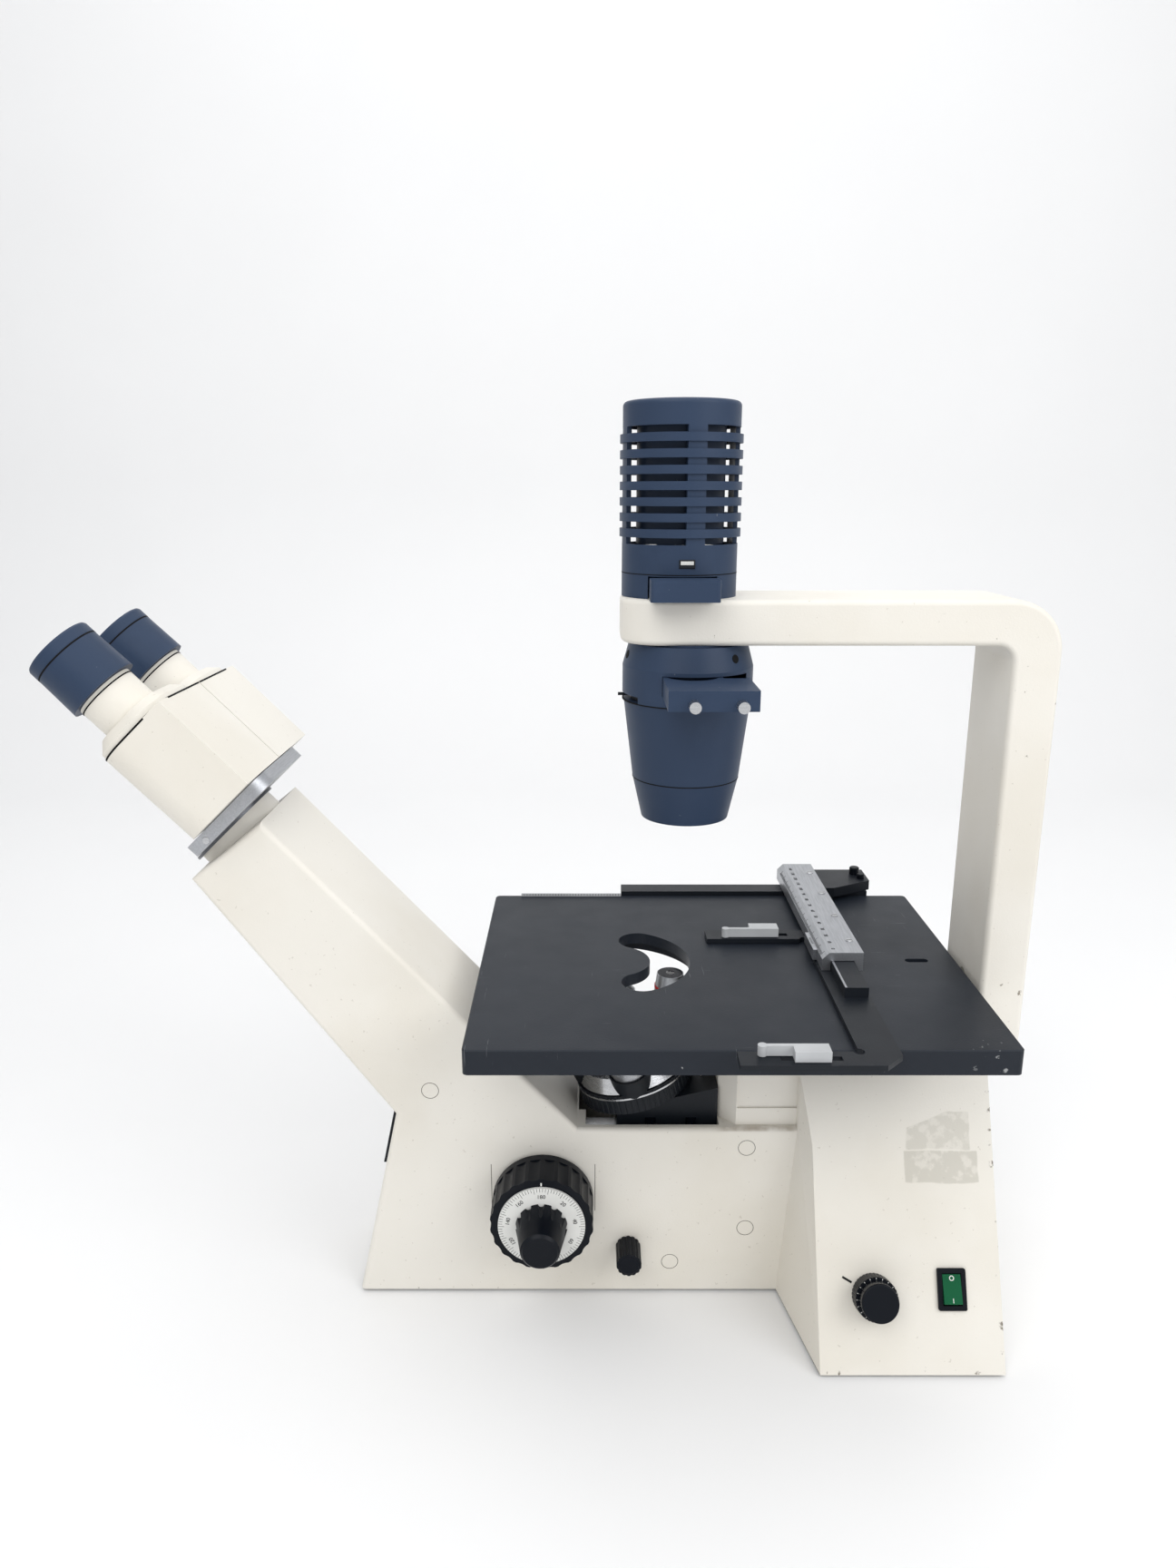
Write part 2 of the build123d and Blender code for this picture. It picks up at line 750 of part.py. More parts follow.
with BuildPart() as lower_mirror:
    with BuildSketch(Plane.XZ):
        with Locations((optic_x, cast_z)):
            Polygon(
                (-mirror_size / 2, 0),
                (mirror_size / 2, 0),
                (mirror_size / 2, mirror_size),
                (mirror_size / 2 - mirror_lip, mirror_size),
                (-mirror_size / 2, mirror_lip),
                align=None,
            )
    extrude(amount=mirror_half, both=True)
save(lower_mirror, "lower_mirror")

# Stage plate with its crescent, and the dowels it sits on
with BuildPart() as stage_plate:
    with BuildSketch(Plane.XY.offset(deck_z)):
        with Locations(((stage_front_x + stage_back_x) / 2, 0)):
            RectangleRounded(stage_back_x - stage_front_x, 2 * stage_half, stage_corner)
    extrude(amount=stage_thickness)
    chamfer(stage_plate.faces().sort_by(Axis.Z)[-1].edges(), stage_chamfer)
    with BuildSketch(Plane.XY.offset(deck_z)):
        with Locations((crescent_x, 0)):
            SlotArc(
                CenterArc((0, 0), crescent_radius, -crescent_half_angle, 2 * crescent_half_angle),
                crescent_width,
            )
        with Locations((stage_back_x - kidney_inset, 0)):
            SlotOverall(kidney_length, kidney_width)
    extrude(amount=stage_thickness, mode=Mode.SUBTRACT)
    with BuildSketch(Plane.XY.offset(deck_z)):
        with Locations((crescent_x, 0)):
            Circle(relief_radius)
    extrude(amount=relief_depth, mode=Mode.SUBTRACT)
    with BuildSketch(Plane.XY.offset(deck_z)):
        with Locations(*stage_pin_places):
            Circle(stage_pin_radius)
    extrude(amount=stage_pin_length, mode=Mode.SUBTRACT)
save(stage_plate, "stage_plate")

with BuildPart() as stage_pins:
    with BuildSketch(Plane.XY.offset(deck_z)):
        with Locations(*stage_pin_places):
            Circle(stage_pin_radius)
    extrude(amount=stage_pin_length, both=True)
save(stage_pins, "stage_pins")

# Light carrier: a hollow pillar that tilts back on its knuckles, and the arm over the stage
with BuildPart() as carrier_arm:
    with BuildSketch(Plane.XZ):
        Polygon(
            (arm_nose_x, arm_low_z),
            (pillar_front_x, arm_low_z),
            (pillar_front_x, knuckle_z),
            (pillar_back_x, knuckle_z),
            (pillar_back_x, arm_top_z),
            (arm_nose_x, arm_top_z),
            align=None,
        )
        with Locations((knuckle_x, knuckle_z)):
            Circle(knuckle_radius)
        corners = vertices().group_by(Axis.X)
        fillet(corners[-1].sort_by(Axis.Y)[-1], arm_outer_radius)
        fillet(vertices().filter_by_position(Axis.X, pillar_front_x - slide_gap, pillar_front_x + slide_gap)
               .sort_by(Axis.Y)[-1], arm_inner_radius)
    extrude(amount=carrier_half, both=True)
    fillet(carrier_arm.edges().filter_by(Axis.Z).group_by(Axis.X)[0], arm_nose_radius)
    rim = carrier_arm.faces().filter_by(Axis.Y).edges()
    fillet(rim.filter_by(lambda e: e.center().Z > knuckle_z + edge_round), edge_round)
    with BuildSketch(Plane.XZ):
        Polygon(
            (pillar_front_x + carrier_wall, knuckle_z + 2 * knuckle_radius),
            (pillar_back_x - carrier_wall, knuckle_z + 2 * knuckle_radius),
            (pillar_back_x - carrier_wall, arm_top_z - arm_outer_radius),
            (pillar_back_x - arm_outer_radius, arm_top_z - carrier_wall),
            (optic_x + 2 * light_hole, arm_top_z - carrier_wall),
            (optic_x + 2 * light_hole, arm_low_z + carrier_wall),
            (pillar_front_x + carrier_wall, arm_low_z + carrier_wall),
            align=None,
        )
    extrude(amount=carrier_half - carrier_wall, both=True, mode=Mode.SUBTRACT)
    with BuildSketch(Plane.YZ.offset(pillar_front_x - carrier_wall)):
        with Locations((0, knuckle_z + 2.5 * knuckle_radius)):
            Circle(wire_hole)
    extrude(amount=3 * carrier_wall, mode=Mode.SUBTRACT)
    with BuildSketch(Plane.XY.offset(arm_low_z)):
        with Locations((optic_x, 0)):
            Circle(light_hole)
    extrude(amount=arm_top_z - arm_low_z, mode=Mode.SUBTRACT)
    for side in (1, -1):
        with BuildSketch(Plane.XZ.offset(side * ear_inner)):
            with Locations((knuckle_x, knuckle_z)):
                Rectangle(4 * knuckle_radius, 2 * knuckle_radius)
        extrude(amount=side * (ear_outer - ear_inner), mode=Mode.SUBTRACT)
    with BuildSketch(Plane.XZ):
        with Locations((knuckle_x, knuckle_z)):
            Circle(pin_radius + running)
    extrude(amount=carrier_half, both=True, mode=Mode.SUBTRACT)
save(carrier_arm, "carrier_arm")

# Lamp housing: a finned shell over the arm, with the lamp hanging inside
lamp_bore = lamp_radius - lamp_wall
slot_rows = round((fin_high_z - fin_low_z) / fin_pitch)
row_pitch = (fin_high_z - fin_low_z) / slot_rows
with BuildPart() as lamp_shell:
    with BuildSketch(Plane.XY.offset(arm_top_z)):
        with Locations((optic_x, 0)):
            Circle(lamp_radius)
    extrude(amount=lamp_top_z - arm_top_z)
    fillet(lamp_shell.faces().sort_by(Axis.Z)[-1].edges(), lamp_wall)
    for row in range(slot_rows - 1):
        with BuildSketch(Plane.XY.offset(fin_low_z + row * row_pitch + slot_height)):
            with Locations((optic_x, 0)):
                Circle(fin_radius)
        extrude(amount=row_pitch - slot_height)
    with BuildSketch(Plane.XY.offset(arm_top_z)):
        with Locations((optic_x, 0)):
            Circle(lamp_bore)
    extrude(amount=lamp_top_z - arm_top_z - lamp_wall, mode=Mode.SUBTRACT)
    for row in range(slot_rows):
        with BuildSketch(Plane.XY.offset(fin_low_z + row * row_pitch)):
            with Locations((optic_x, 0)):
                ring(fin_radius + lamp_wall, lamp_bore - lamp_wall)
                with PolarLocations(0, rib_count // 2, rib_turn, 180, endpoint=False):
                    Rectangle(3 * fin_radius, rib_width, mode=Mode.SUBTRACT)
        extrude(amount=slot_height, mode=Mode.SUBTRACT)
    with BuildSketch(Plane.XZ):
        with Locations((optic_x, arm_top_z + drawer_height / 2 + slide_gap)):
            Rectangle(drawer_width + 2 * slide_gap, drawer_height + 2 * slide_gap)
    extrude(amount=2 * lamp_radius, mode=Mode.SUBTRACT)
save(lamp_shell, "lamp_shell")

lamp_plate_z = fin_high_z + socket_rise
with BuildPart() as lamp_socket:
    with BuildSketch(Plane.XY.offset(lamp_plate_z)):
        with Locations((optic_x, 0)):
            Circle(lamp_bore)
    extrude(amount=socket_plate)
    with BuildSketch(Plane.XY.offset(lamp_plate_z)):
        with Locations((optic_x, 0)):
            Circle(socket_radius)
    extrude(amount=-socket_length)
    with BuildSketch(Plane.XY.offset(lamp_plate_z)):
        with Locations((optic_x, 0)):
            ring(shield_radius, shield_radius - shield_wall)
    extrude(amount=fin_low_z - lamp_plate_z)
save(lamp_socket, "lamp_socket")

with BuildPart() as lamp_bulb:
    with BuildSketch(Plane.XY.offset(lamp_plate_z - socket_length)):
        with Locations((optic_x, 0)):
            Circle(bulb_radius)
    extrude(amount=-bulb_length)
    fillet(lamp_bulb.faces().sort_by(Axis.Z)[0].edges(), bulb_radius - bulb_flat)
save(lamp_bulb, "lamp_bulb")

with BuildPart() as collector_lens:
    with BuildSketch(Plane.XY.offset(fin_low_z - collector_thickness - collector_gap)):
        with Locations((optic_x, 0)):
            Circle(lamp_bore)
    extrude(amount=collector_thickness)
    fillet(collector_lens.faces().sort_by(Axis.Z)[-1].edges(), collector_thickness - collector_edge)
save(collector_lens, "collector_lens")

with BuildPart() as filter_drawer:
    with BuildSketch(Plane.XY.offset(arm_top_z + slide_gap)):
        with Locations((optic_x, (drawer_front_y + drawer_back_y) / 2)):
            Rectangle(drawer_width - 2 * drawer_step, drawer_back_y - drawer_front_y)
        with Locations((optic_x, 0)):
            Circle(drawer_hole_radius, mode=Mode.SUBTRACT)
    extrude(amount=drawer_floor)
    with BuildSketch(Plane.XY.offset(arm_top_z + slide_gap)):
        with Locations((optic_x, drawer_front_y + drawer_block / 2)):
            RectangleRounded(drawer_width, drawer_block, drawer_round)
    extrude(amount=drawer_height)
save(filter_drawer, "filter_drawer")

# Condenser: shouldered housing with a slot for the filter tray, and a cone with the lens below
condenser_bore = shoulder_radius - condenser_wall
tray_tongue = tray_width - 2 * tray_offset
tray_x = condenser_x + tray_offset
condenser_axis = Axis((condenser_x, 0, 0), (0, 0, 1))
condenser_plane = Plane(origin=(condenser_x, 0, 0), x_dir=(1, 0, 0), z_dir=(0, -1, 0))
lever_mid_z = cone_top_z + slide_gap + iris_thickness / 2
iris_reach = iris_lever_end * math.tan(math.radians(iris_swing + iris_slot_margin))
with BuildPart() as condenser_housing:
    with BuildSketch(condenser_plane):
        Polygon(
            (light_hole + light_margin, arm_low_z),
            (neck_radius - condenser_wall, arm_low_z),
            (neck_radius - condenser_wall, condenser_top_z),
            (neck_radius, condenser_top_z),
            (shoulder_radius, shoulder_z),
            (shoulder_radius, cone_top_z),
            (condenser_bore, cone_top_z),
            (condenser_bore, shoulder_z),
            (neck_radius - condenser_wall, condenser_top_z - condenser_wall),
            (light_hole + light_margin, condenser_top_z - condenser_wall),
            align=None,
        )
    revolve(axis=condenser_axis)
    with BuildSketch(Plane.XZ):
        with Locations((tray_x, tray_low_z + tray_thickness / 2)):
            Rectangle(tray_width + 2 * slide_gap, tray_thickness + 2 * slide_gap)
    extrude(amount=2 * shoulder_radius, mode=Mode.SUBTRACT)
    with BuildSketch(Plane.XY.offset(lever_mid_z - 2 * iris_lever_radius)):
        with Locations((condenser_x, 0)):
            Polygon((0, 0), (-iris_lever_end, iris_reach), (-iris_lever_end, -iris_reach), align=None)
    extrude(amount=4 * iris_lever_radius, mode=Mode.SUBTRACT)
save(condenser_housing, "condenser_housing")

with BuildPart() as condenser_cone:
    with BuildSketch(condenser_plane):
        Polygon(
            (condenser_lens_radius, cone_low_z),
            (cone_low_radius, cone_low_z),
            (cone_seam_radius, cone_seam_z),
            (shoulder_radius - cone_step, cone_top_z),
            (cone_bore, cone_top_z),
            (cone_bore, cone_seam_z),
            (condenser_lens_radius, cone_seam_z - condenser_wall),
            align=None,
        )
    revolve(axis=condenser_axis)
save(condenser_cone, "condenser_cone")

with BuildPart() as condenser_lens:
    with BuildSketch(Plane.XY.offset(cone_low_z + condenser_lens_inset)):
        with Locations((condenser_x, 0)):
            Circle(condenser_lens_radius)
    extrude(amount=condenser_lens_thickness)
    fillet(condenser_lens.faces().sort_by(Axis.Z)[-1].edges(), condenser_lens_thickness - condenser_lens_edge)
save(condenser_lens, "condenser_lens")

with BuildPart() as iris_ring:
    with BuildSketch(Plane.XY.offset(cone_top_z + slide_gap)):
        with Locations((condenser_x, 0)):
            ring(iris_outer, iris_inner)
    extrude(amount=iris_thickness)
    with BuildSketch(Plane.YZ.offset(condenser_x - iris_lever_end)):
        with Locations((0, lever_mid_z)):
            Circle(iris_lever_radius)
    extrude(amount=iris_lever_end - iris_outer + iris_lever_root)
save(iris_ring, "iris_ring")

with BuildPart() as filter_tray:
    with BuildSketch(Plane.XY.offset(tray_low_z)):
        with Locations((tray_x, tray_front_y + tray_head / 2)):
            RectangleRounded(tray_width, tray_head, tray_round)
        with Locations((condenser_x, (tray_front_y + tray_back_y) / 2)):
            Rectangle(tray_tongue, tray_back_y - tray_front_y)
        with Locations((condenser_x, tray_hole_y)):
            Circle(tray_hole_radius, mode=Mode.SUBTRACT)
    extrude(amount=tray_thickness)
save(filter_tray, "filter_tray")

with BuildPart() as tray_screws:
    with BuildSketch(Plane.XZ.offset(-tray_front_y)):
        with Locations((tray_x + tray_pin_shift, tray_low_z + tray_pin_rise)):
            with GridLocations(tray_pin_spread, 0, 2, 1):
                Circle(tray_pin_radius)
    extrude(amount=tray_pin_length)
save(tray_screws, "tray_screws")

# Focus drive: a coarse tube with its pinion, a fine shaft through it, a knob pair and dial on each
pitch_radius = gear_module * pinion_teeth / 2
tooth_pitch = math.pi * gear_module
addendum = addendum_modules * gear_module
dedendum = dedendum_modules * gear_module
tooth_lean = math.tan(math.radians(pressure_angle))


def tooth_half(height):
    """Half thickness of a tooth, measured above the pitch line."""
    return tooth_pitch / 4 - tooth_play - tooth_lean * height


def pinion_points():
    """Corners of the pinion's outline, with a tooth pointing along its first axis."""
    points = []
    for tooth in range(pinion_teeth):
        middle = 2 * math.pi * tooth / pinion_teeth
        for height, side in ((-dedendum, -1), (addendum, -1), (addendum, 1), (-dedendum, 1)):
            radius = pitch_radius + height
            angle = middle + side * tooth_half(height) / radius
            points.append((radius * math.cos(angle), radius * math.sin(angle)))
    return points


with BuildPart() as coarse_shaft:
    with BuildSketch(focus_plane):
        Circle(coarse_shaft_radius)
    extrude(amount=coarse_out_y - coarse_shaft_inset, both=True)
    with BuildSketch(focus_plane):
        Polygon(*pinion_points(), align=None)
    extrude(amount=pinion_width / 2, both=True)
    with BuildSketch(focus_plane):
        Circle(fine_shaft_radius + running)
    extrude(amount=coarse_out_y, both=True, mode=Mode.SUBTRACT)
save(coarse_shaft, "coarse_shaft")

with BuildPart() as shaft_bushes:
    for side in (1, -1):
        with BuildSketch(focus_plane.offset(side * bush_in_y)):
            ring(bush_radius, coarse_shaft_radius + running)
        extrude(amount=side * (coarse_in_y - slide_gap - bush_in_y))
save(shaft_bushes, "shaft_bushes")

dial_y = coarse_out_y + slide_gap
fine_y = dial_y + dial_thickness
with BuildPart() as coarse_knobs:
    for side in (1, -1):
        with BuildSketch(focus_plane.offset(side * coarse_in_y)):
            Circle(coarse_radius)
            Circle(coarse_shaft_radius, mode=Mode.SUBTRACT)
        extrude(amount=side * coarse_rim)
        with BuildSketch(focus_plane.offset(side * (coarse_in_y + coarse_rim))):
            fluted(coarse_radius, flute_count, flute_radius, flute_depth)
            Circle(coarse_shaft_radius, mode=Mode.SUBTRACT)
        extrude(amount=side * (coarse_length - coarse_rim))
save(coarse_knobs, "coarse_knobs")

with BuildPart() as dials:
    for side in (1, -1):
        with BuildSketch(focus_plane.offset(side * dial_y)):
            ring(dial_radius, fine_shaft_radius)
        extrude(amount=side * dial_thickness)
save(dials, "dials")

with BuildPart() as fine_shaft:
    with BuildSketch(focus_plane):
        Circle(fine_shaft_radius)
    extrude(amount=fine_y + fine_length - fine_cap, both=True)
save(fine_shaft, "fine_shaft")

focus_axis = Axis((focus_x, 0, focus_z), (0, 1, 0))
with BuildPart() as fine_knobs:
    for side in (1, -1):
        with BuildSketch(Plane(origin=(focus_x, 0, focus_z), x_dir=(1, 0, 0), z_dir=(0, 0, 1))):
            Polygon(
                (0, side * fine_y),
                (fine_base_radius, side * fine_y),
                (fine_tip_radius, side * (fine_y + fine_length - fine_chamfer)),
                (fine_tip_radius - fine_chamfer, side * (fine_y + fine_length)),
                (0, side * (fine_y + fine_length)),
                align=None,
            )
        revolve(axis=focus_axis)
    with BuildSketch(focus_plane):
        with PolarLocations(fine_base_radius, fine_flutes):
            Circle(fine_flute_radius)
    extrude(amount=fine_y + fine_length, both=True, mode=Mode.SUBTRACT)
    with BuildSketch(focus_plane):
        Circle(fine_shaft_radius)
    extrude(amount=fine_y + fine_length - fine_cap, both=True, mode=Mode.SUBTRACT)
save(fine_knobs, "fine_knobs")

# Nosepiece: a carriage on the upright rail, driven by a rack, with a tilted turret on top
turret_sin = math.sin(math.radians(turret_tilt))
turret_cos = math.cos(math.radians(turret_tilt))
turret_plane = Plane(
    origin=turret_centre, x_dir=(turret_cos, 0, turret_sin), z_dir=(-turret_sin, 0, turret_cos)
)
bearing_plane = turret_plane.offset(-turret_grip - slide_gap)


def port_plane(angle):
    """A plane at the foot of a turret port, facing along its objective."""
    turn = math.radians(angle)
    outward = turret_plane.x_dir * math.cos(turn) + turret_plane.y_dir * math.sin(turn)
    return Plane(
        origin=turret_plane.origin + outward * port_radius,
        x_dir=outward * turret_cos - turret_plane.z_dir * turret_sin,
        z_dir=turret_plane.z_dir * turret_cos + outward * turret_sin,
    )


def profile(plane):
    """The plane through a round piece's axis, in which its half outline is drawn."""
    return Plane(origin=plane.origin, x_dir=plane.x_dir, z_dir=-plane.y_dir)


with BuildPart() as nosepiece_carriage:
    with BuildSketch(Plane.XY.offset(carriage_low_z)):
        with Locations(((carriage_front_x + pedestal_x - slide_gap) / 2, 0)):
            Rectangle(pedestal_x - slide_gap - carriage_front_x, 2 * carriage_half)
        with Locations((pedestal_x - rail_depth / 2, 0)):
            Rectangle(rail_depth + 2 * slide_gap, 2 * rail_half + 2 * slide_gap, mode=Mode.SUBTRACT)
        with Locations((optic_x, 0)):
            Circle(port_light_radius, mode=Mode.SUBTRACT)
    extrude(amount=stage_z - carriage_low_z)
    split(bisect_by=bearing_plane, keep=Keep.BOTTOM)
    with BuildSketch(bearing_plane):
        Circle(pivot_radius)
    extrude(amount=pivot_length)
save(nosepiece_carriage, "nosepiece_carriage")

# The rack's teeth face the pinion, with a gap where the pinion's tooth stands
rack_x = focus_x + pitch_radius
rack_root_x = rack_x + dedendum
rack_low_z = focus_z - rack_length / 2
rack_tooth_count = int(rack_length / tooth_pitch) - 1
with BuildPart() as focus_rack:
    with BuildSketch(Plane.XZ):
        with Locations((rack_root_x + rack_back / 2, rack_low_z + rack_length / 2)):
            Rectangle(rack_back, rack_length)
        for tooth in range(rack_tooth_count):
            middle = focus_z + (tooth - rack_tooth_count // 2 + 0.5) * tooth_pitch
            Polygon(
                (rack_root_x, middle - tooth_half(-dedendum)),
                (rack_x - addendum, middle - tooth_half(addendum)),
                (rack_x - addendum, middle + tooth_half(addendum)),
                (rack_root_x, middle + tooth_half(-dedendum)),
                align=None,
            )
    extrude(amount=pinion_width / 2, both=True)
    with BuildSketch(Plane.XZ):
        with Locations(((rack_root_x + carriage_front_x) / 2, carriage_low_z + rack_arm_height / 2)):
            Rectangle(carriage_front_x - rack_root_x, rack_arm_height)
    extrude(amount=rack_arm_half, both=True)
save(focus_rack, "focus_rack")

port_angles = [360 * port / port_count for port in range(port_count)]
turret_axis = Axis(turret_centre, turret_plane.z_dir)
with BuildPart() as turret:
    with BuildSketch(turret_plane.offset(-turret_grip)):
        fluted(turret_radius, turret_flutes, turret_flute_radius, turret_flute_depth)
    extrude(amount=turret_grip)
    with BuildSketch(profile(turret_plane)):
        Polygon(
            (0, 0),
            (turret_dome_base, 0),
            (turret_dome_radius, turret_dome),
            (0, turret_dome),
            align=None,
        )
    revolve(axis=turret_axis)
    for angle in port_angles:
        with BuildSketch(port_plane(angle)):
            Circle(port_boss_radius)
        extrude(amount=port_seat)
    for angle in port_angles:
        with BuildSketch(port_plane(angle).offset(port_seat)):
            Circle(port_thread_radius)
        extrude(amount=-port_thread_depth, mode=Mode.SUBTRACT)
        with BuildSketch(port_plane(angle).offset(port_seat)):
            Circle(port_light_radius)
        extrude(amount=-2 * port_seat - turret_grip, mode=Mode.SUBTRACT)
    with BuildSketch(turret_plane.offset(-turret_grip)):
        Circle(pivot_radius + running)
    extrude(amount=pivot_length, mode=Mode.SUBTRACT)
save(turret, "turret")


def objective_points(length, tip_radius):
    """Half outline of an objective over its port, from the thread to the front lens."""
    grip_top = length - objective_tip_length
    thread_low = port_seat - port_thread_depth + thread_gap
    return (
        (objective_bore, thread_low),
        (port_thread_radius, thread_low),
        (port_thread_radius, port_seat),
        (objective_radius, port_seat),
        (objective_radius, grip_top),
        (tip_radius + objective_tip_step, grip_top + objective_taper),
        (tip_radius, length),
        (0, length),
        (0, length - objective_front),
        (objective_bore, length - objective_front),
    )


for name, angle, length, tip_radius in (
    ("objective_low", 0, objective_low_length, objective_low_tip_radius),
    ("objective_mid", 90, objective_mid_length, objective_mid_tip_radius),
    ("objective_high", 270, objective_high_length, objective_high_tip_radius),
):
    with BuildPart() as objective:
        with BuildSketch(profile(port_plane(angle))):
            Polygon(*objective_points(length, tip_radius), align=None)
        revolve(axis=Axis(port_plane(angle).origin, port_plane(angle).z_dir))
    save(objective, name)

# Specimen guide: a rail along the far edge of the stage, a carriage on it and a cross bar
rail_far_y = stage_half + guide_rail_width
skirt_far_y = rail_far_y + skirt_width
carriage_near_y = stage_half - carriage_overlap
lip_near_y = stage_half + lip_setback
bar_y = (bar_near_y, skirt_far_y - bar_setback)
drive_y = skirt_far_y - drive_inset
with BuildPart() as guide_rail:
    with BuildSketch(Plane.XY.offset(deck_z)):
        with Locations((sum(guide_rail_x) / 2, stage_half + guide_rail_width / 2)):
            Rectangle(guide_rail_x[1] - guide_rail_x[0], guide_rail_width)
    extrude(amount=guide_rail_top_z - deck_z)
save(guide_rail, "guide_rail")

frame_low_z = stage_z + slide_gap
frame_top_z = frame_low_z + frame_thickness
bar_low_z = frame_top_z + slide_gap
channel_top_z = frame_top_z + slide_height + slide_gap
bar_top_z = channel_top_z + bar_roof
bar_middle_x = sum(bar_x) / 2
channel_width = bar_x[1] - bar_x[0] - 2 * bar_leg
with BuildPart() as cross_bar:
    with BuildSketch(Plane.XZ.offset(-bar_y[0])):
        Polygon(
            (bar_x[0], bar_low_z),
            (bar_x[0], bar_top_z - bar_bevel),
            (bar_x[0] + bar_bevel, bar_top_z),
            (bar_x[1], bar_top_z),
            (bar_x[1], bar_low_z),
            align=None,
        )
    extrude(amount=bar_y[0] - bar_y[1])
    with BuildSketch(Plane.XZ.offset(-bar_y[0])):
        with Locations((bar_middle_x, (bar_low_z + channel_top_z) / 2)):
            Rectangle(channel_width, channel_top_z - bar_low_z)
    extrude(amount=bar_y[0] - bar_y[1] + bar_end_wall, mode=Mode.SUBTRACT)
save(cross_bar, "cross_bar")

carriage_low_lip_z = deck_z - slide_gap
plate_low_z = guide_rail_top_z + slide_gap
drive_top_z = plate_low_z - drive_drop
with BuildPart() as guide_carriage:
    with BuildSketch(Plane.XY.offset(plate_low_z)):
        Polygon(
            (bar_x[1], carriage_near_y),
            (bar_x[1] + carriage_nose, carriage_near_y),
            (carriage_right_x, lip_near_y),
            (carriage_right_x, skirt_far_y),
            (bar_x[1], skirt_far_y),
            align=None,
        )
    extrude(amount=carriage_plate)
    with BuildSketch(Plane.XY.offset(carriage_low_lip_z)):
        with Locations(((bar_x[1] + carriage_right_x) / 2, (rail_far_y + slide_gap + skirt_far_y) / 2)):
            Rectangle(carriage_right_x - bar_x[1], skirt_far_y - rail_far_y - slide_gap)
    extrude(amount=plate_low_z - carriage_low_lip_z)
    with BuildSketch(Plane.XY.offset(carriage_low_lip_z)):
        with Locations(((bar_x[1] + carriage_right_x) / 2, (lip_near_y + skirt_far_y) / 2)):
            Rectangle(carriage_right_x - bar_x[1], skirt_far_y - lip_near_y)
    extrude(amount=-lip_thickness)
    with BuildSketch(Plane.XY.offset(carriage_low_lip_z - lip_thickness)):
        with Locations((drive_x, drive_y)):
            Circle(drive_tube_radius + running)
    extrude(amount=drive_top_z + slide_gap - carriage_low_lip_z + lip_thickness, mode=Mode.SUBTRACT)
    with BuildSketch(Plane.XY.offset(drive_top_z)):
        with Locations((drive_x, drive_y)):
            Circle(drive_rod_radius + running)
    extrude(amount=drive_rod_reach + slide_gap, mode=Mode.SUBTRACT)
save(guide_carriage, "guide_carriage")

x_knob_top_z = carriage_low_lip_z - lip_thickness - slide_gap
y_knob_top_z = x_knob_top_z - drive_knob_length - slide_gap
with BuildPart() as x_drive_knob:
    with BuildSketch(Plane.XY.offset(x_knob_top_z - drive_knob_length)):
        with Locations((drive_x, drive_y)):
            fluted(drive_knob_radius, drive_flutes, knurl_radius, knurl_depth)
    extrude(amount=drive_knob_length)
    with BuildSketch(Plane.XY.offset(x_knob_top_z)):
        with Locations((drive_x, drive_y)):
            Circle(drive_tube_radius)
    extrude(amount=drive_top_z - x_knob_top_z)
    with BuildSketch(Plane.XY.offset(x_knob_top_z - drive_knob_length)):
        with Locations((drive_x, drive_y)):
            Circle(drive_rod_radius + running)
    extrude(amount=drive_top_z - x_knob_top_z + drive_knob_length, mode=Mode.SUBTRACT)
save(x_drive_knob, "x_drive_knob")

with BuildPart() as y_drive_knob:
    with BuildSketch(Plane.XY.offset(y_knob_top_z - drive_knob_length)):
        with Locations((drive_x, drive_y)):
            fluted(drive_knob_radius, drive_flutes, knurl_radius, knurl_depth)
    extrude(amount=drive_knob_length)
    with BuildSketch(Plane.XY.offset(y_knob_top_z)):
        with Locations((drive_x, drive_y)):
            Circle(drive_rod_radius)
    extrude(amount=drive_top_z + drive_rod_reach - y_knob_top_z)
save(y_drive_knob, "y_drive_knob")

# Specimen frame under the cross bar: a slide, a spine and two arms with sliding clips
clip_slot = clip_x[1] - clip_x[0] - 2 * clip_inset + 2 * clip_travel + 2 * slide_gap
clip_places = (("clip_far", sum(arm_far_y) / 2, -1), ("clip_near", sum(arm_near_y) / 2, 1))
with BuildPart() as specimen_frame:
    with BuildSketch(Plane.XY.offset(frame_low_z)):
        Polygon(
            (arm_far_x, arm_near_y[0]),
            (spine_x[1] - frame_chamfer, arm_near_y[0]),
            (spine_x[1], arm_near_y[0] + frame_chamfer),
            (spine_x[1], arm_far_y[1]),
            (arm_far_x, arm_far_y[1]),
            (arm_far_x, arm_far_y[0]),
            (spine_x[0], arm_far_y[0]),
            (spine_x[0], arm_near_y[1]),
            (arm_far_x, arm_near_y[1]),
            align=None,
        )
        with Locations((spine_x[0], arm_far_y[0]), (spine_x[0], arm_near_y[1])):
            Circle(frame_relief, mode=Mode.SUBTRACT)
        for _, place_y, _ in clip_places:
            with Locations((sum(clip_x) / 2, place_y)):
                Rectangle(clip_slot, clip_tongue + 2 * slide_gap, mode=Mode.SUBTRACT)
    extrude(amount=frame_thickness)
save(specimen_frame, "specimen_frame")

with BuildPart() as inner_slide:
    with BuildSketch(Plane.XY.offset(frame_top_z)):
        with Locations((bar_middle_x, sum(slide_y) / 2)):
            Rectangle(channel_width - 2 * slide_gap, slide_y[1] - slide_y[0])
    extrude(amount=slide_height)
save(inner_slide, "inner_slide")

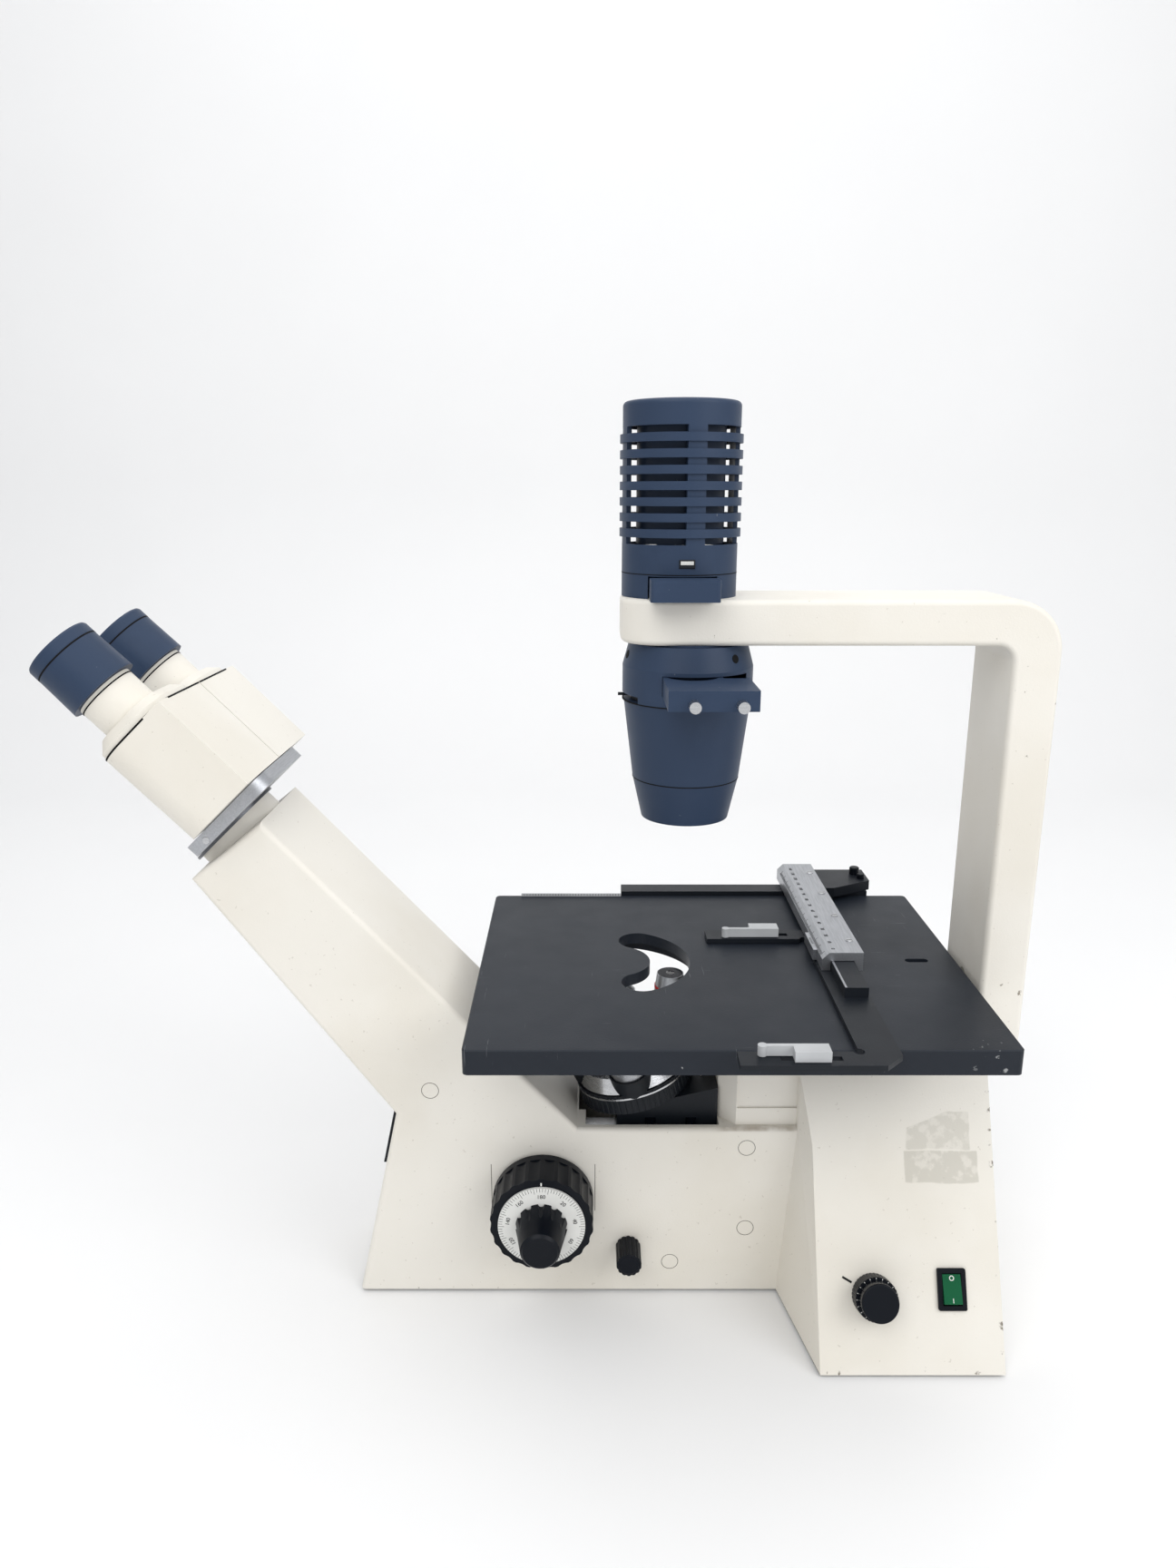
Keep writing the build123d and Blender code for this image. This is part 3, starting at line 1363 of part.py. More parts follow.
for name, place_y, inward in clip_places:
    finger_y = place_y + inward * (clip_depth - clip_finger_width) / 2
    with BuildPart() as clip:
        with BuildSketch(Plane.XY.offset(bar_low_z)):
            with Locations((sum(clip_x) / 2, place_y)):
                Rectangle(clip_x[1] - clip_x[0], clip_depth)
            with Locations((clip_x[0] - clip_finger / 2, finger_y)):
                Rectangle(clip_finger, clip_finger_width)
            with Locations((clip_x[0] - clip_finger, finger_y)):
                Circle(clip_finger_width)
        extrude(amount=clip_height)
        with BuildSketch(Plane.XY.offset(frame_low_z + slide_gap)):
            with Locations((sum(clip_x) / 2, place_y)):
                Rectangle(clip_x[1] - clip_x[0] - 2 * clip_inset, clip_tongue)
        extrude(amount=frame_thickness)
    save(clip, name)

# Binocular head: a dovetail plate, a base with the hub, and two prism housings that swing on it
with BuildPart() as head_dovetail:
    with BuildSketch(head_plane):
        Circle(plate_radius)
    extrude(amount=plate_thickness)
    with BuildSketch(head_plane):
        Circle(spigot_radius)
    extrude(amount=-spigot_length)
    with BuildSketch(head_plane.offset(plate_thickness)):
        Circle(spigot_bore)
    extrude(amount=-plate_thickness - spigot_length, mode=Mode.SUBTRACT)
save(head_dovetail, "head_dovetail")

with BuildPart() as head_base:
    with BuildSketch(head_plane.offset(plate_thickness)):
        with Locations((sum(head_base_p) / 2, 0)):
            RectangleRounded(head_base_p[1] - head_base_p[0], 2 * head_base_half, head_base_round)
    extrude(amount=head_base_top - plate_thickness)
    with BuildSketch(head_plane.offset(head_base_top)):
        with Locations((hub_p, 0)):
            Circle(hub_radius)
    extrude(amount=hub_top - head_base_top)
    with BuildSketch(head_plane.offset(plate_thickness)):
        with Locations((hub_p, 0)):
            Circle(hub_bore)
    extrude(amount=hub_top - plate_thickness, mode=Mode.SUBTRACT)
    with BuildSketch(head_plane.offset(plate_thickness)):
        with Locations((hub_p / 2, 0)):
            SlotCenterToCenter(hub_p, 2 * hub_bore)
    extrude(amount=head_base_top / 2, mode=Mode.SUBTRACT)
save(head_base, "head_base")

wedge = math.tan(math.radians(swing_limit + swing_margin))
half_mid = (half_low + hub_top) / 2
knuckle_outer = hub_radius + knuckle_wall
eye_y = eye_spacing / 2
cross_bore_centre = head_plane.from_local_coords((hub_p, 0, cross_bore_q))
wedge_low = half_gap + (hub_p - half_p[0]) * wedge
cap_low = half_p[0] + cap_inset
cap_high = half_p[1] - cap_inset
for side, word in ((-1, "right"), (1, "left")):
    knuckle_low = half_low if side < 0 else half_mid + slide_gap / 2
    with BuildPart() as prism_housing:
        with BuildSketch(head_plane.offset(half_low)):
            Polygon(
                (half_p[1], side * half_gap),
                (half_p[1], side * half_out),
                (half_p[0], side * half_out),
                (half_p[0], side * wedge_low),
                (hub_p, side * half_gap),
                align=None,
            )
            outer = vertices().sort_by(lambda v: -abs(v.Y))[:2].sort_by(Axis.X)
            fillet(outer[0], half_round_low)
            fillet(outer[1], half_round_high)
        extrude(amount=half_high - half_low)
        with BuildSketch(head_plane.offset(half_low)):
            with Locations((hub_p, 0)):
                Circle(knuckle_outer + slide_gap)
        extrude(amount=hub_top + slide_gap - half_low, mode=Mode.SUBTRACT)
        with BuildSketch(head_plane.offset(knuckle_low)):
            with Locations((hub_p, 0)):
                Circle(knuckle_outer)
            with Locations((hub_p + knuckle_outer / 2, side * knuckle_outer)):
                Rectangle(knuckle_outer, knuckle_outer)
        extrude(amount=half_mid - slide_gap / 2 - half_low)
        with BuildSketch(head_plane.offset(half_low)):
            with Locations((hub_p, 0)):
                Circle(hub_radius + running)
        extrude(amount=hub_top + slide_gap - half_low, mode=Mode.SUBTRACT)
        with BuildSketch(head_plane.offset(half_low)):
            with Locations((hub_p, 0)):
                Circle(hub_bore)
        extrude(amount=cross_bore_q + cross_bore_radius - half_low, mode=Mode.SUBTRACT)
        with BuildSketch(head_plane.offset(cross_bore_q)):
            with Locations((hub_p, side * eye_y)):
                Circle(cross_bore_radius)
        extrude(amount=half_high - cross_bore_q, mode=Mode.SUBTRACT)
        with BuildSketch(Plane(origin=cross_bore_centre, x_dir=head_plane.x_dir, z_dir=(0, side, 0))):
            Circle(cross_bore_radius)
        extrude(amount=eye_y, mode=Mode.SUBTRACT)
    save(prism_housing, f"prism_housing_{word}")

    with BuildPart() as eyepiece_tube:
        with BuildSketch(head_plane.offset(half_high)):
            with Locations(((cap_low + cap_high) / 2, side * (half_gap + half_out) / 2)):
                RectangleRounded(cap_high - cap_low, half_out - half_gap - 2 * cap_inset, cap_round)
        extrude(amount=tube_cap)
        chamfer(eyepiece_tube.faces().sort_by(Axis((0, 0, 0), head_plane.z_dir))[-1].edges(), cap_chamfer)
        with BuildSketch(head_plane.offset(half_high)):
            Polygon(
                (hub_p, side * half_gap),
                (half_p[0], side * wedge_low),
                (half_p[0], 0),
                (hub_p, 0),
                align=None,
            )
        extrude(amount=tube_cap, mode=Mode.SUBTRACT)
        with BuildSketch(head_plane.offset(half_high)):
            with Locations((hub_p, side * eye_y)):
                Circle(tube_radius)
        extrude(amount=tube_top - half_high)
        with BuildSketch(head_plane.offset(half_high)):
            with Locations((hub_p, side * eye_y)):
                Circle(tube_bore)
        extrude(amount=tube_top - half_high, mode=Mode.SUBTRACT)
    save(eyepiece_tube, f"eyepiece_tube_{word}")

    eye_origin = head_plane.from_local_coords((hub_p, side * eye_y, 0))
    eye_plane = Plane(origin=eye_origin, x_dir=head_plane.x_dir, z_dir=head_plane.z_dir)
    with BuildPart() as eyepiece:
        with BuildSketch(profile(eye_plane)):
            Polygon(
                (eyepiece_bore, tube_top - sleeve_length),
                (tube_bore - running, tube_top - sleeve_length),
                (tube_bore - running, tube_top + slide_gap),
                (eyepiece_low_radius, tube_top + slide_gap),
                (eyepiece_top_radius, eyepiece_top - eyecup_chamfer),
                (eyepiece_top_radius - eyecup_chamfer, eyepiece_top),
                (eyepiece_top_radius - eyecup_wall, eyepiece_top),
                (eyepiece_top_radius - eyecup_wall, eyepiece_top - eyecup_depth),
                (eyepiece_bore, eyepiece_top - eyecup_depth),
                align=None,
            )
        revolve(axis=Axis(eye_origin, eye_plane.z_dir))
    save(eyepiece, f"eyepiece_{word}")

    with BuildPart() as eye_lens:
        with BuildSketch(eye_plane.offset(eyepiece_top - eyecup_depth)):
            Circle(eyepiece_bore)
        extrude(amount=-eye_lens_thickness)
    save(eye_lens, f"eye_lens_{word}")
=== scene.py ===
# %% [markdown]
# # An inverted microscope
# The imported solids are loaded first, and nothing moves them afterwards. Everything that follows is
# finish: paint, engraved scales, inked marks, seams and small trim. Lengths are metres: +X runs to the
# back of the stand, +Y to the user's left, and +Z up from the bench.

# %% Load the solids
import math

import bmesh
import bpy
from mathutils import Matrix, Vector


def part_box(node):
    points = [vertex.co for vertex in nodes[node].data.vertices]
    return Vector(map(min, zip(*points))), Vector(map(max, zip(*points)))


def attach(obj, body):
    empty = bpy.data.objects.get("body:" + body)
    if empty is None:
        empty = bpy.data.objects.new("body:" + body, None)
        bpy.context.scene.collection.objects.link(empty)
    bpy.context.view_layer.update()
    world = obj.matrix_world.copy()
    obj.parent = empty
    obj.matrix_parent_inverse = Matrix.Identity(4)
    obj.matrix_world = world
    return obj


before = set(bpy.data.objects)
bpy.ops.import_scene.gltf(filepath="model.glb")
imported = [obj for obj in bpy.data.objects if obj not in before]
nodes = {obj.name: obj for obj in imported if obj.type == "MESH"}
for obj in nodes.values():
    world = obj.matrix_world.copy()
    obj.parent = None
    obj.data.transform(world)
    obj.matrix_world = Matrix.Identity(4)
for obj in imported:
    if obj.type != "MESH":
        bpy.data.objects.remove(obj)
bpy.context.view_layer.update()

# %% [markdown]
# ## The camera
# The photograph was taken from the user's right, a little above the stage, with a wide lens. The
# stage edges and the upright pillar give the height, the distance and the downward pitch. A camera could be
# turned by eye until the view looks right, but measured numbers are the same each run, so they are set
# directly. The long side of the picture is 36 mm on the sensor.

# %% Camera
PITCH_DOWN = 14.976
camera_data = bpy.data.cameras.new("portrait_camera")
camera_data.lens = 25.0
camera_data.sensor_width = 36.0
camera_data.clip_start = 0.01
camera = bpy.data.objects.new("portrait_camera", camera_data)
camera.location = (0.0206, -0.608, 0.477)
camera.rotation_euler = (math.radians(90 - PITCH_DOWN), 0, 0)
bpy.context.scene.collection.objects.link(camera)
bpy.context.scene.camera = camera
print("camera at", tuple(round(v, 3) for v in camera.location))

# %% [markdown]
# ## Shader arithmetic
# Writing node trees by hand hides what they do. A socket is wrapped in a small class, so that a mask
# reads as ordinary arithmetic, and each operator adds one Math node. One method makes every other node.


# %% Socket arithmetic
# A Mix node has sockets for every kind of data, and these are the numbers of those for colours.
MIX_SHARE, MIX_LOW, MIX_HIGH, MIX_RESULT = 0, 6, 7, 2


class Wire:
    """A shader socket that can be added, subtracted and multiplied."""

    def __init__(self, tree, socket=None):
        self.tree = tree
        self.socket = socket

    def node(self, kind, settings, sockets, output=0):
        """Adds a node with its settings, feeds its sockets and gives one of its outputs."""
        made = self.tree.nodes.new(kind)
        for key, value in settings.items():
            setattr(made, key, value)
        for key, value in sockets.items():
            if isinstance(value, Wire):
                self.tree.links.new(value.socket, made.inputs[key])
            else:
                made.inputs[key].default_value = value
        return Wire(self.tree, made.outputs[output])

    def math(self, operation, first, second=0.0):
        """One Math node."""
        return self.node("ShaderNodeMath", {"operation": operation}, {0: first, 1: second})

    def __add__(self, other):
        return self.math("ADD", self, other)

    def __radd__(self, other):
        return self.math("ADD", other, self)

    def __sub__(self, other):
        return self.math("SUBTRACT", self, other)

    def __rsub__(self, other):
        return self.math("SUBTRACT", other, self)

    def __mul__(self, other):
        return self.math("MULTIPLY", self, other)

    def __rmul__(self, other):
        return self.math("MULTIPLY", other, self)

    def __abs__(self):
        return self.math("ABSOLUTE", self)

    def step(self, low, high):
        """A soft step from 0 at low to 1 at high."""
        return self.node("ShaderNodeMapRange", {"interpolation_type": "SMOOTHSTEP"},
                         {"Value": self, "From Min": low, "From Max": high})

    def mix(self, low, high):
        """A colour between two others, with this value as the share of the second."""
        return self.node("ShaderNodeMix", {"data_type": "RGBA"},
                         {MIX_SHARE: self, MIX_LOW: low, MIX_HIGH: high}, MIX_RESULT)


def srgb(red, green, blue):
    """A colour as an eye reads it off a screen, turned into the linear value a shader wants."""
    shares = [v / 255 for v in (red, green, blue)]
    linear = [v / 12.92 if v < 0.04045 else ((v + 0.055) / 1.055) ** 2.4 for v in shares]
    return (*linear, 1.0)


def dimmed(colour, share):
    """The same colour with less light in it."""
    return tuple(share * v for v in colour[:3]) + (1,)


print("socket arithmetic ready")

# %% [markdown]
# A finish is one material with a Principled shader. `place` is the position on the object in metres, so
# marks can be put where the photograph shows them, and grain keeps its real size. A painted picture would
# need an unwrapped mesh for each piece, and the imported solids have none.


# %% Finishes
class Finish:
    """A material in the making: its shader, the position on the object, and helpers for grain."""

    def __init__(self, name, **constants):
        self.material = bpy.data.materials.new(name)
        self.material.use_nodes = True
        self.tree = self.material.node_tree
        self.shader = self.tree.nodes["Principled BSDF"]
        for key, value in constants.items():
            self.shader.inputs[key.replace("_", " ")].default_value = value
        self.wire = Wire(self.tree)
        self.place = self.wire.node("ShaderNodeTexCoord", {}, {}, "Object")

    def axes(self):
        """The position as three numbers."""
        return [self.wire.node("ShaderNodeSeparateXYZ", {}, {"Vector": self.place}, axis) for axis in "XYZ"]

    def noise(self, scale, detail=2.0, stretch=(1, 1, 1)):
        """Grain of so many features to the metre, finer along a stretched axis."""
        place = self.wire.node("ShaderNodeMapping", {}, {"Vector": self.place, "Scale": stretch})
        return self.wire.node("ShaderNodeTexNoise", {}, {"Vector": place, "Scale": scale, "Detail": detail})

    def set(self, key, value):
        """Feeds a socket of the shader."""
        self.tree.links.new(value.socket, self.shader.inputs[key])

    def bump(self, height, strength, distance):
        """Raises and sinks the surface a little, for the light only."""
        self.set("Normal", self.wire.node("ShaderNodeBump", {}, {
            "Strength": strength, "Distance": distance, "Height": height}))


def inside(value, low, high, soft=0.0005):
    """1 between two limits, with soft edges."""
    return value.step(low - soft, low + soft) * (1 - value.step(high - soft, high + soft))


print("finish helper ready")

# %% [markdown]
# ## Ivory paint
# The castings have a fine leatherette spray coat: ivory, satin, with a grain under a millimetre. Years
# on a bench have dulled it in clouds. The rear foot carries two patches of dried adhesive and chips along
# its outer corners, and the trough sill has a brown dirt line. All castings share one recipe, and a piece
# with marks of its own hands in a function that lays them over the paint.

# %% Ivory paint
IVORY = srgb(230, 226, 217)
OLD_IVORY = srgb(220, 214, 201)
CHIPPED = srgb(112, 104, 92)


def ivory(name, wear=None):
    """The paint of the castings, with a piece's own wear over it."""
    paint = Finish(name, IOR=1.46)
    clouds = paint.noise(9.0, 4.0).step(0.42, 0.68) * 0.55
    colour = clouds.mix(IVORY, OLD_IVORY)
    specks = paint.noise(420.0, 1.0).step(0.74, 0.78) * 0.25
    colour = specks.mix(colour, srgb(150, 140, 122))
    if wear:
        colour = wear(paint, colour)
    paint.set("Base Color", colour)
    paint.set("Roughness", 0.38 + paint.noise(60.0) * 0.16)
    paint.bump(paint.noise(1150.0, 3.0), 0.22, 0.0004)
    return paint.material


# Half the width of the rear foot at the bench, half the width of the body, and the height of the flare.
FOOT_HALF, BODY_HALF, FLARE_HEIGHT = 0.108, 0.039, 0.149
FLARE_SLOPE = (FOOT_HALF - BODY_HALF) / FLARE_HEIGHT


def foot_marks(paint, colour):
    """Adhesive patches on the right flank, and chips along the back corners and the foot."""
    x, y, z = paint.axes()
    ragged = (paint.noise(55.0, 5.0) - 0.5) * 0.006
    frayed = ragged * 0.5
    outside = y.step(-0.030, -0.034)
    upper = inside(x + ragged, 0.204, 0.2410) * inside(z + ragged, 0.1115, 0.1307)
    cut_off = (z - x * 0.367 + frayed).step(0.0467, 0.0475)
    upper = upper * (1 - cut_off)
    lower = inside(x + frayed, 0.2025, 0.2445) * inside(z + frayed, 0.0950, 0.1108)
    torn = 0.45 + paint.noise(150.0, 6.0).step(0.40, 0.52) * 0.55
    colour = ((upper * 0.8 + lower) * torn * outside * 0.6).mix(colour, srgb(184, 180, 168))
    corner = (abs(y) + z * FLARE_SLOPE).step(0.1052, 0.1076)
    edge = (x.step(0.2505, 0.2533) + (1 - z.step(0.0022, 0.0048))) * corner
    chips = edge * paint.noise(210.0, 6.0).step(0.61, 0.67)
    return chips.mix(colour, CHIPPED)


def body_marks(paint, colour):
    """The dirt line along the sill and chips along the foot."""
    x, _, z = paint.axes()
    sill = inside(x, 0.098, 0.143, 0.006) * inside(z, 0.1120, 0.1136)
    dirt = sill * paint.noise(80.0, 5.0).step(0.36, 0.60) * 0.5
    colour = dirt.mix(colour, srgb(140, 120, 92))
    foot = (1 - z.step(0.0022, 0.0042)) * paint.noise(170.0, 6.0).step(0.64, 0.70)
    return foot.mix(colour, CHIPPED)


def arm_marks(paint, colour):
    """Small knocks along the pillar's corners."""
    _, y, z = paint.axes()
    corner = abs(y).step(0.0285, 0.0305) * (1 - z.step(0.40, 0.42))
    chips = corner * paint.noise(170.0, 6.0).step(0.70, 0.74)
    return chips.mix(colour, srgb(140, 132, 118))


ivory_plain = ivory("ivory_paint")
ivory_foot = ivory("ivory_paint_foot", foot_marks)
ivory_body = ivory("ivory_paint_body", body_marks)
ivory_arm = ivory("ivory_paint_arm", arm_marks)
print("ivory paints: 4")

# %% [markdown]
# ## Blue-grey and black coats
# Lamp house, condenser and eyepieces are a dark blue-grey with a dry sheen. The stage is satin black
# with hair scratches where plates have been pushed across it, and worn corners. A white room shows in dark
# paint and turns it grey, so the gloss is kept low. The scratches are noise, stretched along one axis.


# %% Dark coats
COAT_GLOSS = 0.22


def dark_coat(name, colour, worn, rough, wear=None):
    """A dry dark paint, hazed in places towards a worn colour."""
    coat = Finish(name, IOR=1.5, Specular_IOR_Level=COAT_GLOSS)
    haze = coat.noise(26.0, 5.0).step(0.45, 0.75) * 0.5
    shade = haze.mix(colour, worn)
    if wear:
        shade = wear(coat, shade)
    coat.set("Base Color", shade)
    coat.set("Roughness", rough + coat.noise(45.0, 3.0) * 0.14)
    coat.bump(coat.noise(1400.0, 2.0), 0.16, 0.0003)
    return coat.material


def stage_marks(coat, shade):
    """Hair scratches both ways, and pale scuffs at the near right corner and along the edges."""
    x, y, _ = coat.axes()
    along = coat.noise(38.0, 3.0, (1, 26, 1)).step(0.70, 0.735) * coat.noise(14.0).step(0.46, 0.62)
    across = coat.noise(34.0, 3.0, (24, 1, 1)).step(0.71, 0.74) * coat.noise(11.0).step(0.48, 0.64)
    shade = ((along + across) * 0.30).mix(shade, srgb(150, 152, 156))
    corner = x.step(0.205, 0.240) * (1 - y.step(-0.108, -0.090))
    rim = (1 - y.step(-0.1092, -0.1080)) + x.step(0.2412, 0.2424)
    scuffs = corner * coat.noise(190.0, 6.0).step(0.64, 0.69)
    scuffs = scuffs + rim * coat.noise(150.0, 6.0).step(0.71, 0.75)
    return (scuffs * 0.6).mix(shade, srgb(196, 198, 198))


def rim_wear(coat, shade):
    """Bright nicks here and there."""
    nicks = coat.noise(190.0, 6.0).step(0.735, 0.76)
    return (nicks * 0.5).mix(shade, srgb(128, 134, 142))


blue_grey = dark_coat("blue_grey_coat", srgb(44, 59, 82), srgb(53, 68, 92), 0.36, rim_wear)
stage_black = dark_coat("stage_black_coat", srgb(28, 33, 41), srgb(34, 39, 47), 0.36, stage_marks)
trim_black = dark_coat("trim_black_coat", srgb(21, 25, 31), srgb(28, 32, 38), 0.36, rim_wear)
print("dark coats: 3")

# %% [markdown]
# ## Metals, plastics and glass
# Turned and brushed metal differ only in the direction of the grain. Plastics get a faint mould texture,
# and the lenses a thin tinted coating. One short function for each family keeps the list of finishes
# readable: a name, a colour, a roughness.


# %% Metals, plastics and glass
PLASTIC_GLOSS = 0.14


def metal(name, colour, rough, stretch):
    """Bare metal, with a grain that is finer along the stretched axes."""
    bar = Finish(name, Metallic=1.0)
    grain = bar.noise(90.0, 4.0, stretch)
    bar.set("Base Color", grain.step(0.3, 0.7).mix(colour, dimmed(colour, 0.86)))
    bar.set("Roughness", rough + grain * 0.18)
    bar.bump(grain, 0.10, 0.0002)
    return bar.material


def plastic(name, colour, rough, grain=900.0):
    """Moulded plastic, rubber or ink."""
    moulded = Finish(name, IOR=1.5, Specular_IOR_Level=PLASTIC_GLOSS)
    tone = moulded.noise(30.0, 3.0).step(0.4, 0.7)
    moulded.set("Base Color", tone.mix(colour, dimmed(colour, 0.88)))
    moulded.set("Roughness", rough + moulded.noise(70.0) * 0.12)
    moulded.bump(moulded.noise(grain, 2.0), 0.10, 0.0002)
    return moulded.material


def lens(name, colour, rough):
    """Clear glass with a coating."""
    glass = Finish(name, IOR=1.52, Transmission_Weight=1.0, Coat_Weight=0.6)
    glass.set("Base Color", glass.noise(20.0).mix(colour, dimmed(colour, 0.94)))
    glass.set("Roughness", rough + glass.noise(300.0) * 0.02)
    return glass.material


satin_aluminium = metal("satin_aluminium", srgb(176, 178, 182), 0.30, (14, 1, 14))
turned_steel = metal("turned_steel", srgb(196, 197, 199), 0.18, (1, 1, 22))
# Steel darkened as painted shade, so the dovetail under the head reads as the dark gap below the prism
# housings.
steel_painted_shade = metal("steel_painted_shade", srgb(92, 94, 98), 0.26, (1, 1, 22))
turned_brass = metal("turned_brass", srgb(196, 164, 92), 0.22, (1, 18, 1))
knob_black = plastic("knob_black", srgb(11, 15, 22), 0.28)
cap_black = plastic("cap_black", srgb(10, 14, 22), 0.12, 400.0)
dial_white = plastic("dial_white", srgb(226, 226, 222), 0.26)
clip_grey = plastic("clip_grey", srgb(190, 192, 194), 0.24)
switch_green = plastic("switch_green", srgb(20, 92, 58), 0.14, 300.0)
foot_rubber = plastic("foot_rubber", srgb(30, 30, 31), 0.62, 500.0)
ink_black = plastic("ink_black", srgb(24, 25, 27), 0.40)
ink_white = plastic("ink_white", srgb(236, 236, 232), 0.38)
ring_red = plastic("ring_red", srgb(196, 38, 34), 0.30)
ring_yellow = plastic("ring_yellow", srgb(214, 180, 52), 0.30)
ring_blue = plastic("ring_blue", srgb(52, 110, 178), 0.30)
shadow_gap = plastic("shadow_gap", srgb(14, 14, 15), 0.70)
# A warm grey of painted shade, for thin gaps and recess edges on the ivory castings.
gap_painted_shade = plastic("gap_painted_shade", srgb(92, 87, 78), 0.60)
coated_glass = lens("coated_glass", srgb(214, 226, 236), 0.03)
mirror_face = metal("mirror_face", srgb(226, 228, 230), 0.02, (1, 1, 1))
print("metals, plastics and glass: 19")

# %% [markdown]
# ## Painting the solids
# Each solid takes one finish. A table of finishes and pieces is easier to check against the photograph than
# a line of code for each piece. Only the material slots change, so the shapes stay as they were packed.

# %% Paint the solids
coats = {
    ivory_plain: ["stage_pedestal", "cover_plugs", "prism_housing_right", "prism_housing_left",
                  "eyepiece_tube_right", "eyepiece_tube_left"],
    ivory_foot: ["rear_housing"],
    ivory_body: ["body_casting"],
    ivory_arm: ["carrier_arm"],
    blue_grey: ["lamp_shell", "filter_drawer", "condenser_housing", "condenser_cone", "filter_tray",
                "eyepiece_right", "eyepiece_left", "lamp_socket"],
    stage_black: ["stage_plate"],
    trim_black: ["base_plate", "front_plate", "guide_rail", "guide_carriage", "specimen_frame",
                 "inner_slide", "nosepiece_carriage", "turret", "iris_ring"],
    satin_aluminium: ["cross_bar", "head_base", "objective_low", "objective_mid", "objective_high"],
    turned_steel: ["carrier_hinge_pin", "tray_screws", "stage_pins", "coarse_shaft", "fine_shaft",
                   "focus_rack"],
    # The dovetail takes the darkened steel: painted shade for the gap under the head.
    steel_painted_shade: ["head_dovetail"],
    turned_brass: ["shaft_bushes"],
    knob_black: ["coarse_knobs", "fine_knobs", "selector_knob", "dimmer_knob", "x_drive_knob",
                 "y_drive_knob", "power_inlet", "rocker_bezel", "power_supply"],
    dial_white: ["dials"],
    clip_grey: ["clip_far", "clip_near"],
    switch_green: ["rocker"],
    foot_rubber: ["rubber_feet"],
    coated_glass: ["lamp_bulb", "collector_lens", "condenser_lens", "eye_lens_right", "eye_lens_left"],
    mirror_face: ["lower_mirror"],
}
for finish, names in coats.items():
    for name in names:
        for slot in nodes[name].material_slots:
            slot.material = finish
left_bare = sorted(set(nodes) - {n for names in coats.values() for n in names})
print("solids without a coat:", left_bare)

# %% [markdown]
# ## Making trim
# Trim is drawn in a handy frame at the origin and then moved into place inside its mesh, so every object
# stays at the world origin. Round trim is an outline turned about an axis, and flat trim is a box. Both could
# be modelled by hand, but short functions keep their sizes in sight. A piece rides on the body that carries
# it, and names the finish it takes.


# %% Trim helpers
HERE = Matrix.Identity(4)
SIDES = (("right", -1), ("left", 1))


def settle(name, mesh, body, finish):
    """Puts a finished mesh into the scene as a piece of a body."""
    if not mesh.materials:
        mesh.materials.append(finish)
    piece = bpy.data.objects.new(name, mesh)
    bpy.context.scene.collection.objects.link(piece)
    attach(piece, body)


def pour(work, name, place, body, finish):
    """Turns a bmesh into a piece, moved into place inside its mesh."""
    mesh = bpy.data.meshes.new(name)
    work.to_mesh(mesh)
    work.free()
    mesh.transform(place)
    settle(name, mesh, body, finish)


def lathe(name, outline, place, body, finish, steps=72):
    """A closed outline of (radius, height) points, turned about the local Z of `place`."""
    work = bmesh.new()
    rings = []
    for k in range(steps):
        turn = 2 * math.pi * k / steps
        rings.append([work.verts.new((r * math.cos(turn), r * math.sin(turn), h)) for r, h in outline])
    for k in range(steps):
        here, after = rings[k], rings[(k + 1) % steps]
        for i in range(len(outline)):
            j = (i + 1) % len(outline)
            work.faces.new((here[i], after[i], after[j], here[j]))
    bmesh.ops.remove_doubles(work, verts=work.verts, dist=1e-7)
    bmesh.ops.recalc_face_normals(work, faces=work.faces)
    pour(work, name, place, body, finish)


def band(name, radius, low, high, proud, place, body, finish):
    """A thin ring around a round piece."""
    inner, outer = radius - proud, radius + proud
    lathe(name, [(inner, low), (outer, low), (outer, high), (inner, high)], place, body, finish, 96)


def block(name, low, high, bevel, place, body, finish):
    """A box with rounded edges."""
    work = bmesh.new()
    bmesh.ops.create_cube(work, size=1.0)
    for vert in work.verts:
        vert.co = Vector(l + (h - l) * (c + 0.5) for l, h, c in zip(low, high, vert.co))
    if bevel:
        bmesh.ops.bevel(work, geom=work.edges[:], offset=bevel, segments=2, affect="EDGES", profile=0.5)
    pour(work, name, place, body, finish)


def frame_at(origin, x_dir, z_dir):
    """A placing matrix from an origin, a first axis and a normal."""
    z = Vector(z_dir).normalized()
    x = Vector(x_dir).normalized()
    y = z.cross(x)
    return Matrix.Translation(Vector(origin)) @ Matrix((x, y, z)).transposed().to_4x4()


print("trim helpers ready")

# %% [markdown]
# ## Rows of marks with Geometry Nodes
# Dials, rulers and knurls are one mark, repeated. An array modifier could repeat it too, but a node tree has
# its count, its radius and the size of its mark as named inputs. One tree puts marks around a circle and
# another puts them along a line. The result is read back as a plain mesh, because the export drops instances.


# %% Geometry Nodes trees
def new_tree(name, inputs):
    """An empty tree with its named inputs, and the nodes at its two ends."""
    tree = bpy.data.node_groups.new(name, "GeometryNodeTree")
    tree.interface.new_socket("Geometry", in_out="OUTPUT", socket_type="NodeSocketGeometry")
    for label, kind in inputs:
        tree.interface.new_socket(label, in_out="INPUT", socket_type=kind)
    return tree, tree.nodes.new("NodeGroupInput"), tree.nodes.new("NodeGroupOutput")


